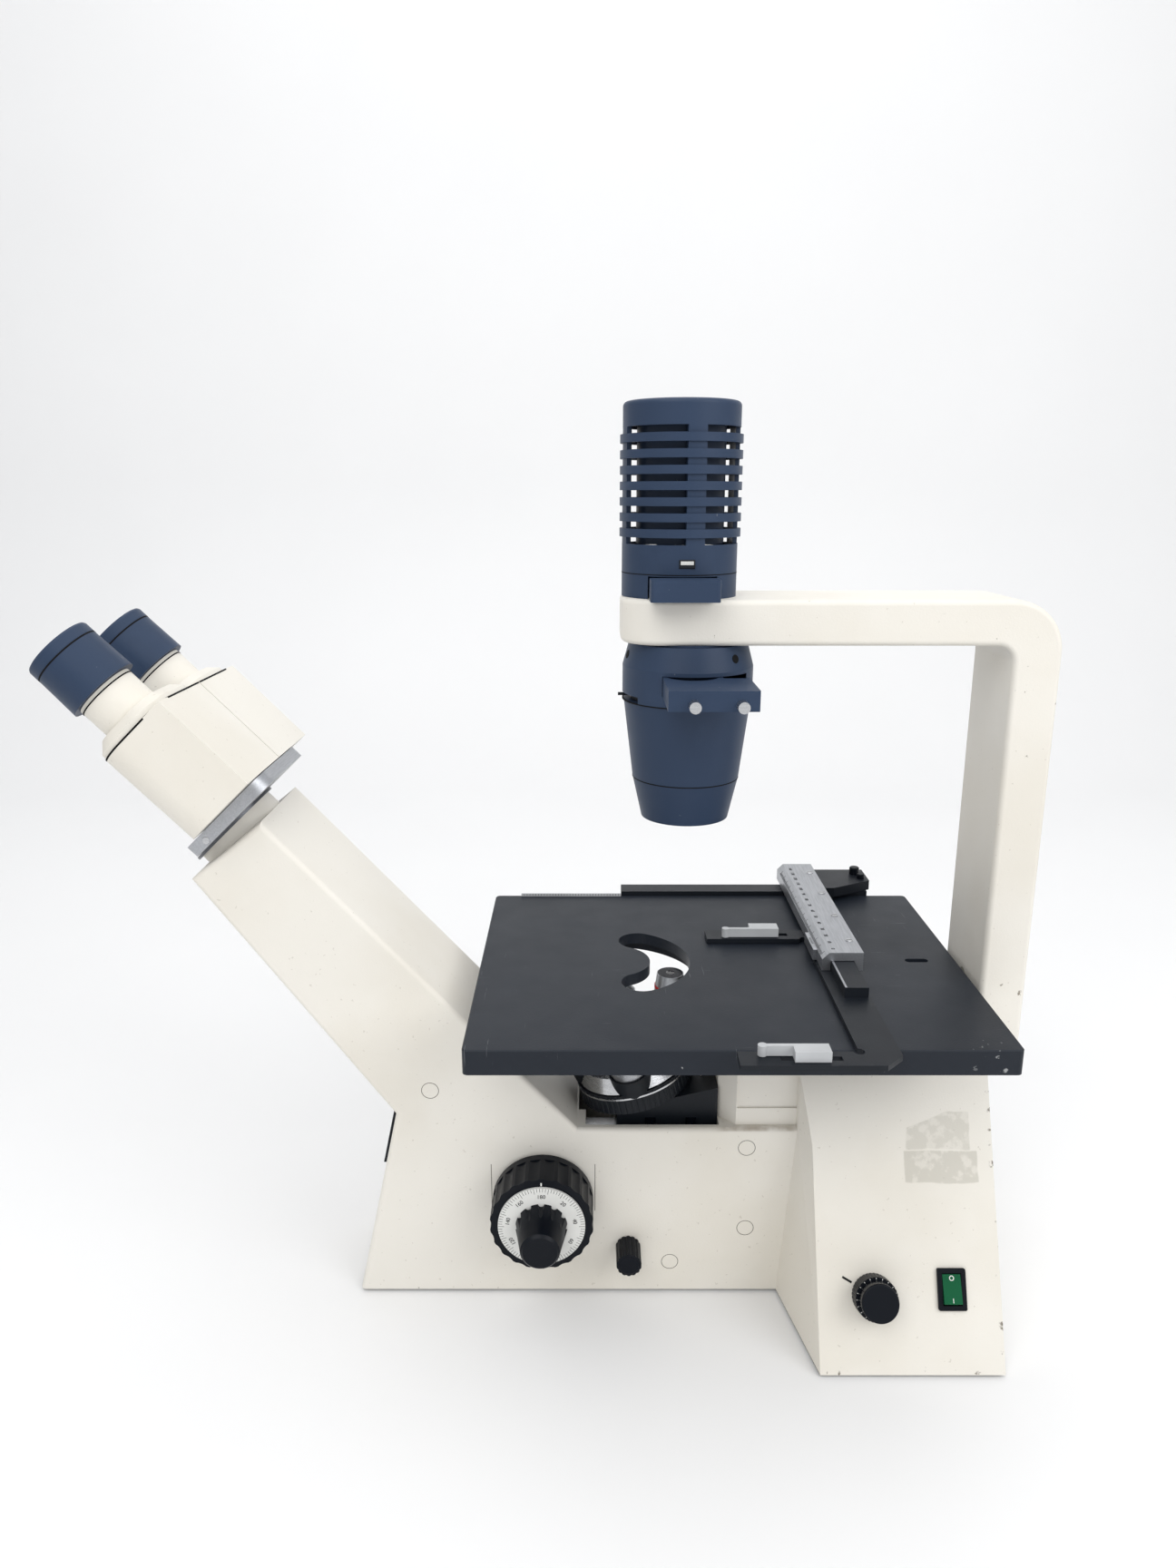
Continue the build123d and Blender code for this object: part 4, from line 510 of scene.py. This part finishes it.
def finish_tree(tree, points, rotation, given, out):
    """Instances a mark on the points, realizes it and gives it its material."""
    link = tree.links.new
    mark = tree.nodes.new("GeometryNodeMeshCube")
    size = tree.nodes.new("ShaderNodeCombineXYZ")
    for i, label in enumerate(("Mark length", "Mark width", "Mark height")):
        link(given.outputs[label], size.inputs[i])
    link(size.outputs[0], mark.inputs["Size"])
    copies = tree.nodes.new("GeometryNodeInstanceOnPoints")
    link(points, copies.inputs["Points"])
    link(mark.outputs["Mesh"], copies.inputs["Instance"])
    if rotation is not None:
        link(rotation, copies.inputs["Rotation"])
    real = tree.nodes.new("GeometryNodeRealizeInstances")
    coat = tree.nodes.new("GeometryNodeSetMaterial")
    link(copies.outputs["Instances"], real.inputs["Geometry"])
    link(real.outputs["Geometry"], coat.inputs["Geometry"])
    link(given.outputs["Finish"], coat.inputs["Material"])
    link(coat.outputs["Geometry"], out.inputs["Geometry"])


MARK = [("Mark length", "NodeSocketFloat"), ("Mark width", "NodeSocketFloat"),
        ("Mark height", "NodeSocketFloat"), ("Finish", "NodeSocketMaterial")]
round_tree, given, out = new_tree(
    "marks_round", [("Count", "NodeSocketInt"), ("Radius", "NodeSocketFloat")] + MARK)
join = round_tree.links.new
circle = round_tree.nodes.new("GeometryNodeMeshCircle")
join(given.outputs["Count"], circle.inputs["Vertices"])
join(given.outputs["Radius"], circle.inputs["Radius"])
share = round_tree.nodes.new("ShaderNodeMath")
share.operation = "DIVIDE"
share.inputs[0].default_value = 2 * math.pi
join(given.outputs["Count"], share.inputs[1])
turn = round_tree.nodes.new("ShaderNodeMath")
turn.operation = "MULTIPLY"
join(round_tree.nodes.new("GeometryNodeInputIndex").outputs[0], turn.inputs[0])
join(share.outputs[0], turn.inputs[1])
spin = round_tree.nodes.new("ShaderNodeCombineXYZ")
join(turn.outputs[0], spin.inputs[2])
finish_tree(round_tree, circle.outputs["Mesh"], spin.outputs[0], given, out)

line_tree, given, out = new_tree(
    "marks_in_line", [("Count", "NodeSocketInt"), ("Spacing", "NodeSocketVector")] + MARK)
join = line_tree.links.new
line = line_tree.nodes.new("GeometryNodeMeshLine")
join(given.outputs["Count"], line.inputs["Count"])
join(given.outputs["Spacing"], line.inputs["Offset"])
finish_tree(line_tree, line.outputs["Mesh"], None, given, out)
print("trees:", round_tree.name, line_tree.name)


# %% Marks from a tree
def marks(name, tree, values, place, body):
    """Runs a tree, keeps its result as a plain mesh, and settles it on a body."""
    carrier = bpy.data.objects.new(name + "_source", bpy.data.meshes.new(name + "_source"))
    bpy.context.scene.collection.objects.link(carrier)
    modifier = carrier.modifiers.new("marks", "NODES")
    modifier.node_group = tree
    for item in tree.interface.items_tree:
        if item.in_out == "INPUT" and item.name in values:
            modifier[item.identifier] = values[item.name]
    bpy.context.view_layer.update()
    seen = carrier.evaluated_get(bpy.context.evaluated_depsgraph_get())
    mesh = bpy.data.meshes.new_from_object(seen)
    carrier.modifiers.remove(modifier)
    bpy.data.objects.remove(carrier)
    mesh.name = name
    mesh.transform(place)
    settle(name, mesh, body, values["Finish"])


FIGURE_DEPTH = 0.00005


def words(name, figures, size, body, finish):
    """Flat figures: each entry is (text, placing matrix). All of them become one mesh."""
    work = bmesh.new()
    for text, place in figures:
        curve = bpy.data.curves.new(name, "FONT")
        curve.body = text
        curve.size = size
        curve.align_x = "CENTER"
        curve.align_y = "CENTER"
        curve.extrude = FIGURE_DEPTH
        sign = bpy.data.objects.new(name, curve)
        bpy.context.scene.collection.objects.link(sign)
        bpy.context.view_layer.update()
        seen = sign.evaluated_get(bpy.context.evaluated_depsgraph_get())
        mesh = bpy.data.meshes.new_from_object(seen)
        bpy.data.objects.remove(sign)
        mesh.transform(place)
        work.from_mesh(mesh)
    pour(work, name, HERE, body, finish)


print("marks and figures ready")

# %% [markdown]
# ## The focus dial
# A white ring between the coarse and the fine knob is ruled into ninety parts. Its figures run from 20 to
# 180 in steps of 20, and 180 stands at the top. The index is a white line on the coarse knob. Drawn as thin
# solids, the marks stay sharp at any distance and turn with the knob. Two fine lines of painted shade on the
# casting show where its wall is recessed for the knob.

# %% Focus dial
FOCUS = Vector((-0.0062, 0, 0.0685))
DIAL_FACE, COARSE_FACE = 0.0678, 0.0661
DIAL_RADIUS, FIGURE_RADIUS, FIGURE_LIFT = 0.0250, 0.0195, 0.00004
INK_WIDTH, INK_DEPTH = 0.00022, 0.0001
for word, side in SIDES:
    face = frame_at(FOCUS + Vector((0, side * DIAL_FACE, 0)), (-side, 0, 0), (0, side, 0))
    for label, count, length in (("fine", 90, 0.0023), ("long", 18, 0.0034)):
        marks(f"dial_{label}_{word}", round_tree, {
            "Count": count, "Radius": DIAL_RADIUS - length / 2, "Mark length": length,
            "Mark width": INK_WIDTH, "Mark height": INK_DEPTH, "Finish": ink_black},
            face, "fine")
    figures = []
    for k in range(1, 10):
        turned = math.pi / 2 - 2 * math.pi * k / 9
        across, up = FIGURE_RADIUS * math.cos(turned), FIGURE_RADIUS * math.sin(turned)
        at = Matrix.Translation((across, up, FIGURE_LIFT))
        figures.append((str(20 * k), face @ at @ Matrix.Rotation(turned - math.pi / 2, 4, "Z")))
    words(f"dial_figures_{word}", figures, 0.0034, "fine", ink_black)
    rim = frame_at(FOCUS + Vector((0, side * COARSE_FACE, 0)), (-side, 0, 0), (0, side, 0))
    block(f"coarse_index_{word}", (-0.0004, 0.0255, -0.0002), (0.0004, 0.0275, 0.00005), 0, rim,
          "coarse", ink_white)
    # Thin lines of painted shade mark the two edges of the recess.
    for edge, x in (("front", -0.0372), ("back", 0.0248)):
        wall = side * BODY_HALF
        block(f"focus_recess_{edge}_{word}", (x - 0.00018, wall - 0.00004, 0.058),
              (x + 0.00018, wall + 0.00004, 0.090), 0, HERE, "stand", gap_painted_shade)
print("dial marks and recess lines on both sides")

# %% [markdown]
# ## Cross bar ruler
# The bar over the specimen is ruled in millimetres along its left bevel, with a figure each centimetre,
# and held by four screws along its right edge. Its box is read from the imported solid, so the ruler stays on
# the bevel if the bar moves.

# %% Cross bar
bar_low, bar_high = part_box("cross_bar")
first_mark = bar_low.y + 0.006
bevel_mid = Vector((bar_low.x + 0.0020, first_mark, bar_high.z - 0.0020))
bevel = frame_at(bevel_mid + Vector((-0.00002, 0, 0.00002)), (1, 0, 1), (-1, 0, 1))
for label, count, pitch, length in (("mm", 141, 0.001, 0.0016), ("cm", 15, 0.010, 0.0032)):
    marks(f"bar_{label}", line_tree, {
        "Count": count, "Spacing": (0, pitch, 0), "Mark length": length, "Mark width": INK_WIDTH,
        "Mark height": INK_DEPTH, "Finish": ink_black},
        bevel @ Matrix.Translation((length / 2 - 0.0026, 0, 0)), "guide")
top = frame_at((bar_low.x + 0.0072, first_mark, bar_high.z + FIGURE_LIFT), (0, -1, 0), (0, 0, 1))
words("bar_figures", [(str(10 * k), top @ Matrix.Translation((-0.010 * k, 0, 0))) for k in range(15)],
      0.0032, "guide", ink_black)
screw_x = bar_high.x - 0.0045
screw_head = [(0, -0.0006), (0.0023, -0.0006), (0.0023, 0.00035), (0.0019, 0.0007), (0, 0.0007)]
for k in range(4):
    place = Matrix.Translation((screw_x, bar_low.y + 0.018 + 0.040 * k, bar_high.z))
    lathe(f"bar_screw_{k}", screw_head, place, "guide", turned_steel, 32)
    block(f"bar_screw_slot_{k}", (-0.0017, -0.00025, 0.0006), (0.0017, 0.00025, 0.00074), 0, place,
          "guide", shadow_gap)
print("bar ruler and screws")

# %% [markdown]
# ## Trim of the head
# The viewing axis leans 46 degrees, so the head gets a frame of its own: first axis up the slope, third
# axis out of the eyepieces. A dark gap runs around the foot of each tube cap, and each eyecup has a
# lip above a turned groove. The gap follows the cap's own outline, so it is a thin hoop around it and not a
# line in the paint, which would need the same outline in shader maths.


# %% Head trim
def hoop(name, outer, low, high, share, place, body, finish):
    """A flat closed strip: an outline, and the same outline drawn smaller about its middle."""
    middle = sum((Vector(p) for p in outer), Vector((0, 0))) / len(outer)
    inner = [middle + share * (Vector(p) - middle) for p in outer]
    work = bmesh.new()
    rings = [[work.verts.new((p[0], p[1], h)) for p in line]
             for line, h in ((outer, low), (outer, high), (inner, high), (inner, low))]
    for here, after in zip(rings, rings[1:] + rings[:1]):
        for i in range(len(outer)):
            j = (i + 1) % len(outer)
            work.faces.new((here[i], here[j], after[j], after[i]))
    bmesh.ops.recalc_face_normals(work, faces=work.faces)
    pour(work, name, place, body, finish)


def arc(x, y, radius, start, steps=12):
    """Points of a quarter circle."""
    turns = [math.radians(start + 90 * k / steps) for k in range(steps + 1)]
    return [(x + radius * math.cos(a), y + radius * math.sin(a)) for a in turns]


LEAN = math.radians(46)
UP_SLOPE = Vector((math.sin(LEAN), 0, math.cos(LEAN)))
OUT = Vector((-math.cos(LEAN), 0, math.sin(LEAN)))
HEAD = frame_at((-0.1848, 0, 0.29035), UP_SLOPE, OUT)
EYE_RISE, EYE_HALF_SPACING = 0.022, 0.036
for word, side in SIDES:
    half = f"{word}_half"
    outline = [(0.022, 0.0006), (0.0481, 0.0006), *arc(0.034, 0.046, 0.0141, 0),
               *arc(0.017, 0.040, 0.0201, 90), (-0.0031, 0.0210)]
    hoop(f"cap_gap_{word}", [(p, side * y) for p, y in outline], 0.0692, 0.0702, 0.93, HEAD, half,
         shadow_gap)
    eye = HEAD @ Matrix.Translation((EYE_RISE, side * EYE_HALF_SPACING, 0))
    own = f"eyepiece_{word}"
    band(f"eyecup_groove_{word}", 0.01908, 0.1216, 0.1224, 0.00012, eye, own, shadow_gap)
    lathe(f"eyecup_lip_{word}", [(0.0188, 0.1226), (0.01922, 0.1226), (0.01912, 0.1280), (0.0186, 0.1290),
                                 (0.0166, 0.1292), (0.0157, 0.1288), (0.0157, 0.1262), (0.0170, 0.1262)],
          eye, own, blue_grey, 96)
    band(f"tube_collar_{word}", 0.0166, 0.0945, 0.0952, 0.00015, eye, half, shadow_gap)
    lathe(f"field_stop_{word}", [(0.0102, 0.1238), (0.0153, 0.1238), (0.0153, 0.1250), (0.0102, 0.1246)],
          eye, own, cap_black, 64)
clamp = HEAD @ Matrix.Translation((-0.001, -0.0285, 0.0045)) @ Matrix.Rotation(math.pi / 2, 4, "X")
lathe("head_clamp_screw", [(0, 0), (0.0024, 0), (0.0024, 0.0112), (0.0020, 0.0118), (0, 0.0118)], clamp,
      "stand", turned_steel, 32)
print("head trim on both sides")

# %% [markdown]
# ## Turret and objectives
# The turret leans 14 degrees towards the user, so that only the working objective stands upright. Each
# objective carries a coloured ring for its power, a black front, a small front lens and a knurled grip. They
# hide under the stage, so they are placed by the turret's own frame and not by the photograph.

# %% Turret trim
TILT = math.radians(14)
TURRET = frame_at((0.048, 0, 0.134), (math.cos(TILT), 0, math.sin(TILT)),
                  (-math.sin(TILT), 0, math.cos(TILT)))
PORT_RADIUS, NOSE_LENGTH, NOSE_COLLAR, NOSE_TAPER = 0.0231, 0.016, 0.004, 0.0015
band("turret_trim_ring", 0.0351, -0.0026, -0.0016, 0.00035, TURRET, "turret", turned_steel)
lathe("turret_dome_cover", [(0.0120, 0.0088), (0.0303, 0.0088), (0.0332, 0.0001), (0.0336, 0.0004),
                            (0.0306, 0.0093), (0.0120, 0.0093)], TURRET, "turret",
      turned_steel, 96)
for word, angle, length, tip, ring_finish in (("low", 0, 0.0564, 0.008, ring_red),
                                              ("mid", 90, 0.0520, 0.007, ring_yellow),
                                              ("high", 270, 0.0564, 0.006, ring_blue)):
    port = TURRET @ Matrix.Rotation(math.radians(angle), 4, "Z") @ Matrix.Translation((PORT_RADIUS, 0, 0))
    port = port @ Matrix.Rotation(TILT, 4, "Y")
    shoulder = length - NOSE_LENGTH
    at = shoulder + 0.0065
    fall = NOSE_TAPER * (at - shoulder - NOSE_COLLAR) / (length - shoulder - NOSE_COLLAR)
    band(f"power_ring_{word}", tip + NOSE_TAPER - fall, at, at + 0.0018, 0.00025, port, "turret",
         ring_finish)
    lathe(f"objective_front_{word}", [(0.0026, length - 0.0002), (tip - 0.0004, length - 0.0002),
                                      (tip - 0.0004, length + 0.0001), (0.0026, length + 0.00015)],
          port, "turret", cap_black, 48)
    lathe(f"objective_lens_{word}", [(0, length), (0.0026, length), (0.0026, length + 0.0001),
                                     (0.0012, length + 0.0003), (0, length + 0.00035)],
          port, "turret", coated_glass, 32)
    marks(f"objective_knurl_{word}", round_tree, {
        "Count": 60, "Radius": 0.01142, "Mark length": 0.0004, "Mark width": 0.0005, "Mark height": 0.006,
        "Finish": satin_aluminium}, port @ Matrix.Translation((0, 0, 0.020)), "turret")
for x in (0.0581, 0.0825):
    place = Matrix.Translation((x, -0.0270, 0.090))
    lathe(f"nosepiece_rod_{int(x * 1e4)}", [(0, 0), (0.0032, 0), (0.0032, 0.024), (0, 0.024)], place,
          "nosepiece", cap_black, 32)
print("turret trim")

# %% [markdown]
# ## Condenser and lamp house
# The condenser shows two turned seams and sunken holes in its shoulder. The lamp house has a seam and a
# small window over its drawer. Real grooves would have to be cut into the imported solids, so the seams and
# holes are dark rings and discs that stand a hair proud of the paint.

# %% Condenser and lamp trim
CONDENSER_AXIS = Vector((0.0765, 0, 0))
CONDENSER = Matrix.Translation(CONDENSER_AXIS)
LAMP = Matrix.Translation((0.0705, 0, 0))
for word, radius, low, high, proud in (("low", 0.0303, 0.3198, 0.3204, 0.00012),
                                       ("high", 0.0362, 0.3649, 0.3655, 0.00045)):
    band(f"condenser_seam_{word}", radius, low, high, proud, CONDENSER, "carrier",
         shadow_gap)
SHOULDER_HEIGHT, SHOULDER_RADIUS = 0.39075, 0.03475
for k, turned in enumerate((-48, 72, 192)):
    a = math.radians(turned)
    away = Vector((math.cos(a), math.sin(a), 0))
    normal = away * 0.965 + Vector((0, 0, 0.262))
    centre = CONDENSER_AXIS + Vector((0, 0, SHOULDER_HEIGHT))
    spot = frame_at(centre + away * SHOULDER_RADIUS, (-math.sin(a), math.cos(a), 0), normal)
    lathe(f"shoulder_hole_{k}", [(0, 0.00012), (0.0024, 0.00012), (0.0024, -0.0004), (0, -0.0004)],
          spot, "carrier", shadow_gap, 32)
window = frame_at((0.0722, -0.0314, 0.441), (1, 0, 0), (0, -1, 0))
block("lamp_window_frame", (-0.0042, -0.0023, -0.0006), (0.0042, 0.0023, 0.0004), 0.0003, window,
      "carrier", trim_black)
block("lamp_window_pane", (-0.0034, -0.0004, 0.0002), (0.0034, 0.0015, 0.00055), 0.0001, window,
      "carrier", dial_white)
lathe("lamp_top_cap", [(0, 0.5234), (0.0285, 0.5234), (0.0285, 0.52348), (0, 0.52349)], LAMP,
      "carrier", blue_grey, 96)
band("lamp_seam", 0.03142, 0.4350, 0.4355, 0.00008, LAMP, "carrier", shadow_gap)
print("condenser and lamp trim")

# %% [markdown]
# ## Controls
# The dimmer has a polished cap over a skirt with white ticks, and a black index line beside it on the paint.
# The rocker carries the usual ring for off and bar for on. Thin rings of painted shade outline the plugs in
# the side walls. The flank of the foot leans, so a small function gives a frame on it, and marks are laid
# flat in that frame.

# %% Controls
FLARE = math.atan(FLARE_SLOPE)


def flank(x, z):
    """A frame on the right flank: along the stand, up the slope, and out of the paint."""
    y = -(FOOT_HALF - FLARE_SLOPE * z)
    return frame_at((x, y, z), (1, 0, 0), (0, -math.cos(FLARE), math.sin(FLARE)))


dimmer = flank(0.1812, 0.040)
lathe("dimmer_cap", [(0, 0.0171), (0.0094, 0.0171), (0.0100, 0.0169), (0.01045, 0.0163),
                     (0.01050, 0.0097), (0.0102, 0.0095), (0.0102, 0.0160), (0.0092, 0.0168), (0, 0.0168)],
      dimmer, "dimmer", cap_black, 72)
marks("dimmer_ticks", round_tree, {
    "Count": 20, "Radius": 0.0112, "Mark length": 0.0008, "Mark width": 0.0003, "Mark height": INK_DEPTH,
    "Finish": ink_white}, dimmer @ Matrix.Translation((0, 0, 0.0093)), "dimmer")
block("dimmer_index", (-0.0030, -0.0006, 0), (0.0030, 0.0006, 0.00012), 0,
      dimmer @ Matrix.Rotation(math.radians(150), 4, "Z") @ Matrix.Translation((0.0165, 0, 0)), "stand",
      ink_black)
tipped = flank(0.2256, 0.043) @ Matrix.Rotation(math.radians(-8), 4, "X")
lathe("rocker_off_ring", [(0.0009, 0.00215), (0.0014, 0.00215), (0.0014, 0.00228), (0.0009, 0.00228)],
      tipped @ Matrix.Translation((0, 0.0058, 0)), "rocker", ink_white, 32)
block("rocker_on_bar", (-0.0002, -0.0071, 0.00215), (0.0002, -0.0047, 0.00228), 0, tipped, "rocker",
      ink_white)
PLUG_RADIUS = 0.0050
for k, (x, z) in enumerate(((-0.0718, 0.1391), (0.1149, 0.1010), (0.1159, 0.0459), (0.0706, 0.0220))):
    for word, side in SIDES:
        place = frame_at((x, side * BODY_HALF, z), (-side, 0, 0), (0, side, 0))
        # A thin ring of painted shade marks the gap around each plug.
        band(f"plug_gap_{k}_{word}", PLUG_RADIUS, -0.00005, 0.00004, 0.00017, place, "stand",
             gap_painted_shade)
selector = frame_at((0.045, -0.0563, 0.033), (1, 0, 0), (0, -1, 0))
lathe("selector_cap", [(0, 0.0002), (0.0058, 0.0002), (0.0064, -0.0001), (0.0064, -0.0008), (0, -0.0008)],
      selector, "selector", cap_black, 48)
print("controls")

# %% [markdown]
# ## Stage details
# A pale rule stands along the stage's far edge, left of the guide rail, and a small vernier block is fixed
# to the bar's left side. Both are rulers again, so they use the tree that puts marks along a line. Two
# small knobs on the guide carriage and a bright strip on the slide finish the guide.

# %% Stage details
block("stage_rule", (-0.026, 0.1080, 0.2039), (0.0435, 0.1094, 0.2060), 0.0002, HERE, "stand",
      clip_grey)
marks("stage_rule_marks", line_tree, {
    "Count": 34, "Spacing": (0.002, 0, 0), "Mark length": 0.0003, "Mark width": INK_DEPTH,
    "Mark height": 0.0012, "Finish": ink_black},
    Matrix.Translation((-0.024, 0.1080, 0.2052)), "stand")
block("vernier_block", (0.1545, -0.0080, 0.2079), (0.1571, 0.0180, 0.2148), 0.0003, HERE, "guide",
      satin_aluminium)
marks("vernier_marks", line_tree, {
    "Count": 11, "Spacing": (0, 0.0009, 0), "Mark length": 0.0014, "Mark width": 0.0002,
    "Mark height": INK_DEPTH, "Finish": ink_black},
    Matrix.Translation((0.1558, 0.0004, 0.2148)), "guide")
block("slide_rack_strip", (0.1626, -0.0565, 0.2131), (0.1638, 0.0595, 0.2134), 0.0001, HERE, "specimen",
      satin_aluminium)
CARRIAGE_TOP = 0.2139
for name, x, y, radius, crown_radius, edge, crown in (
    ("carriage_lock_knob", 0.2105, 0.1270, 0.0034, 0.0028, 0.2186, 0.2192),
    ("carriage_pin", 0.2130, 0.1180, 0.0026, 0.0021, 0.2170, 0.2174),
):
    outline = [(0, CARRIAGE_TOP), (radius, CARRIAGE_TOP), (radius, edge), (crown_radius, crown), (0, crown)]
    lathe(name, outline, Matrix.Translation((x, y, 0)), "guide", knob_black, 40)
print("stage details")

# %% [markdown]
# ## Light and floor
# A pale floor runs up into a pale wall, lit by broad soft lamps. A corner between them would show as a line,
# so a quarter circle joins them. The world is white for the camera, for reflections and for glass, and a
# plain grey for the light that it sheds.

# %% Floor, wall and lamps
SWEEP_HALF, FLOOR_FRONT, WALL_TOP, BEND_START, BEND_RADIUS = 9.0, -3.0, 3.0, 1.1, 0.5
bend = [(BEND_START + BEND_RADIUS * math.sin(a), BEND_RADIUS - BEND_RADIUS * math.cos(a))
        for a in (math.pi / 2 * k / 12 for k in range(13))]
sweep_points = [(FLOOR_FRONT, 0.0)] + bend + [(BEND_START + BEND_RADIUS, WALL_TOP)]
sweep_mesh = bpy.data.meshes.new("studio_sweep")
sweep_verts = [(x, y, z) for x in (-SWEEP_HALF, SWEEP_HALF) for y, z in sweep_points]
count = len(sweep_points)
sweep_mesh.from_pydata(sweep_verts, [], [(i, i + count, i + count + 1, i + 1) for i in range(count - 1)])
sweep_mesh.polygons.foreach_set("use_smooth", [True] * len(sweep_mesh.polygons))
sweep = bpy.data.objects.new("studio_sweep", sweep_mesh)
bpy.context.scene.collection.objects.link(sweep)
sweep_paint = Finish("sweep_paint", Roughness=0.55)
sweep_paint.set("Base Color", sweep_paint.noise(3.0).mix(srgb(240, 240, 240), srgb(236, 236, 236)))
sweep_mesh.materials.append(sweep_paint.material)

for name, place, aim, size, watts in (
    ("key_lamp", (-0.7, -1.6, 1.9), (0.0, 0.0, 0.25), 1.6, 21.0),
    ("fill_lamp", (1.5, -1.2, 1.4), (0.05, 0.0, 0.25), 1.5, 19.0),
    ("top_lamp", (0.0, 0.3, 2.3), (0.0, 0.1, 0.0), 2.0, 19.0),
):
    lamp_data = bpy.data.lights.new(name, "AREA")
    lamp_data.size = size
    lamp_data.energy = watts
    lamp = bpy.data.objects.new(name, lamp_data)
    lamp.location = place
    lamp.rotation_euler = (Vector(aim) - Vector(place)).to_track_quat("-Z", "Y").to_euler()
    bpy.context.scene.collection.objects.link(lamp)

SHED_LIGHT, SHOWN_WHITE = 0.55, 0.4
world = bpy.data.worlds.new("studio_world")
bpy.context.scene.world = world
world.use_nodes = True
sky = Wire(world.node_tree)
seen = sky.node("ShaderNodeLightPath", {}, {}, "Is Camera Ray")
glossy = sky.node("ShaderNodeLightPath", {}, {}, "Is Glossy Ray")
through = sky.node("ShaderNodeLightPath", {}, {}, "Is Transmission Ray")
white = seen.math("MAXIMUM", seen, glossy.math("MAXIMUM", glossy, through))
background = world.node_tree.nodes["Background"]
background.inputs["Color"].default_value = (0.93, 0.94, 0.96, 1.0)
world.node_tree.links.new((SHED_LIGHT + white * SHOWN_WHITE).socket, background.inputs["Strength"])
bpy.context.scene.view_settings.view_transform = "Standard"
print("lamps: 3")
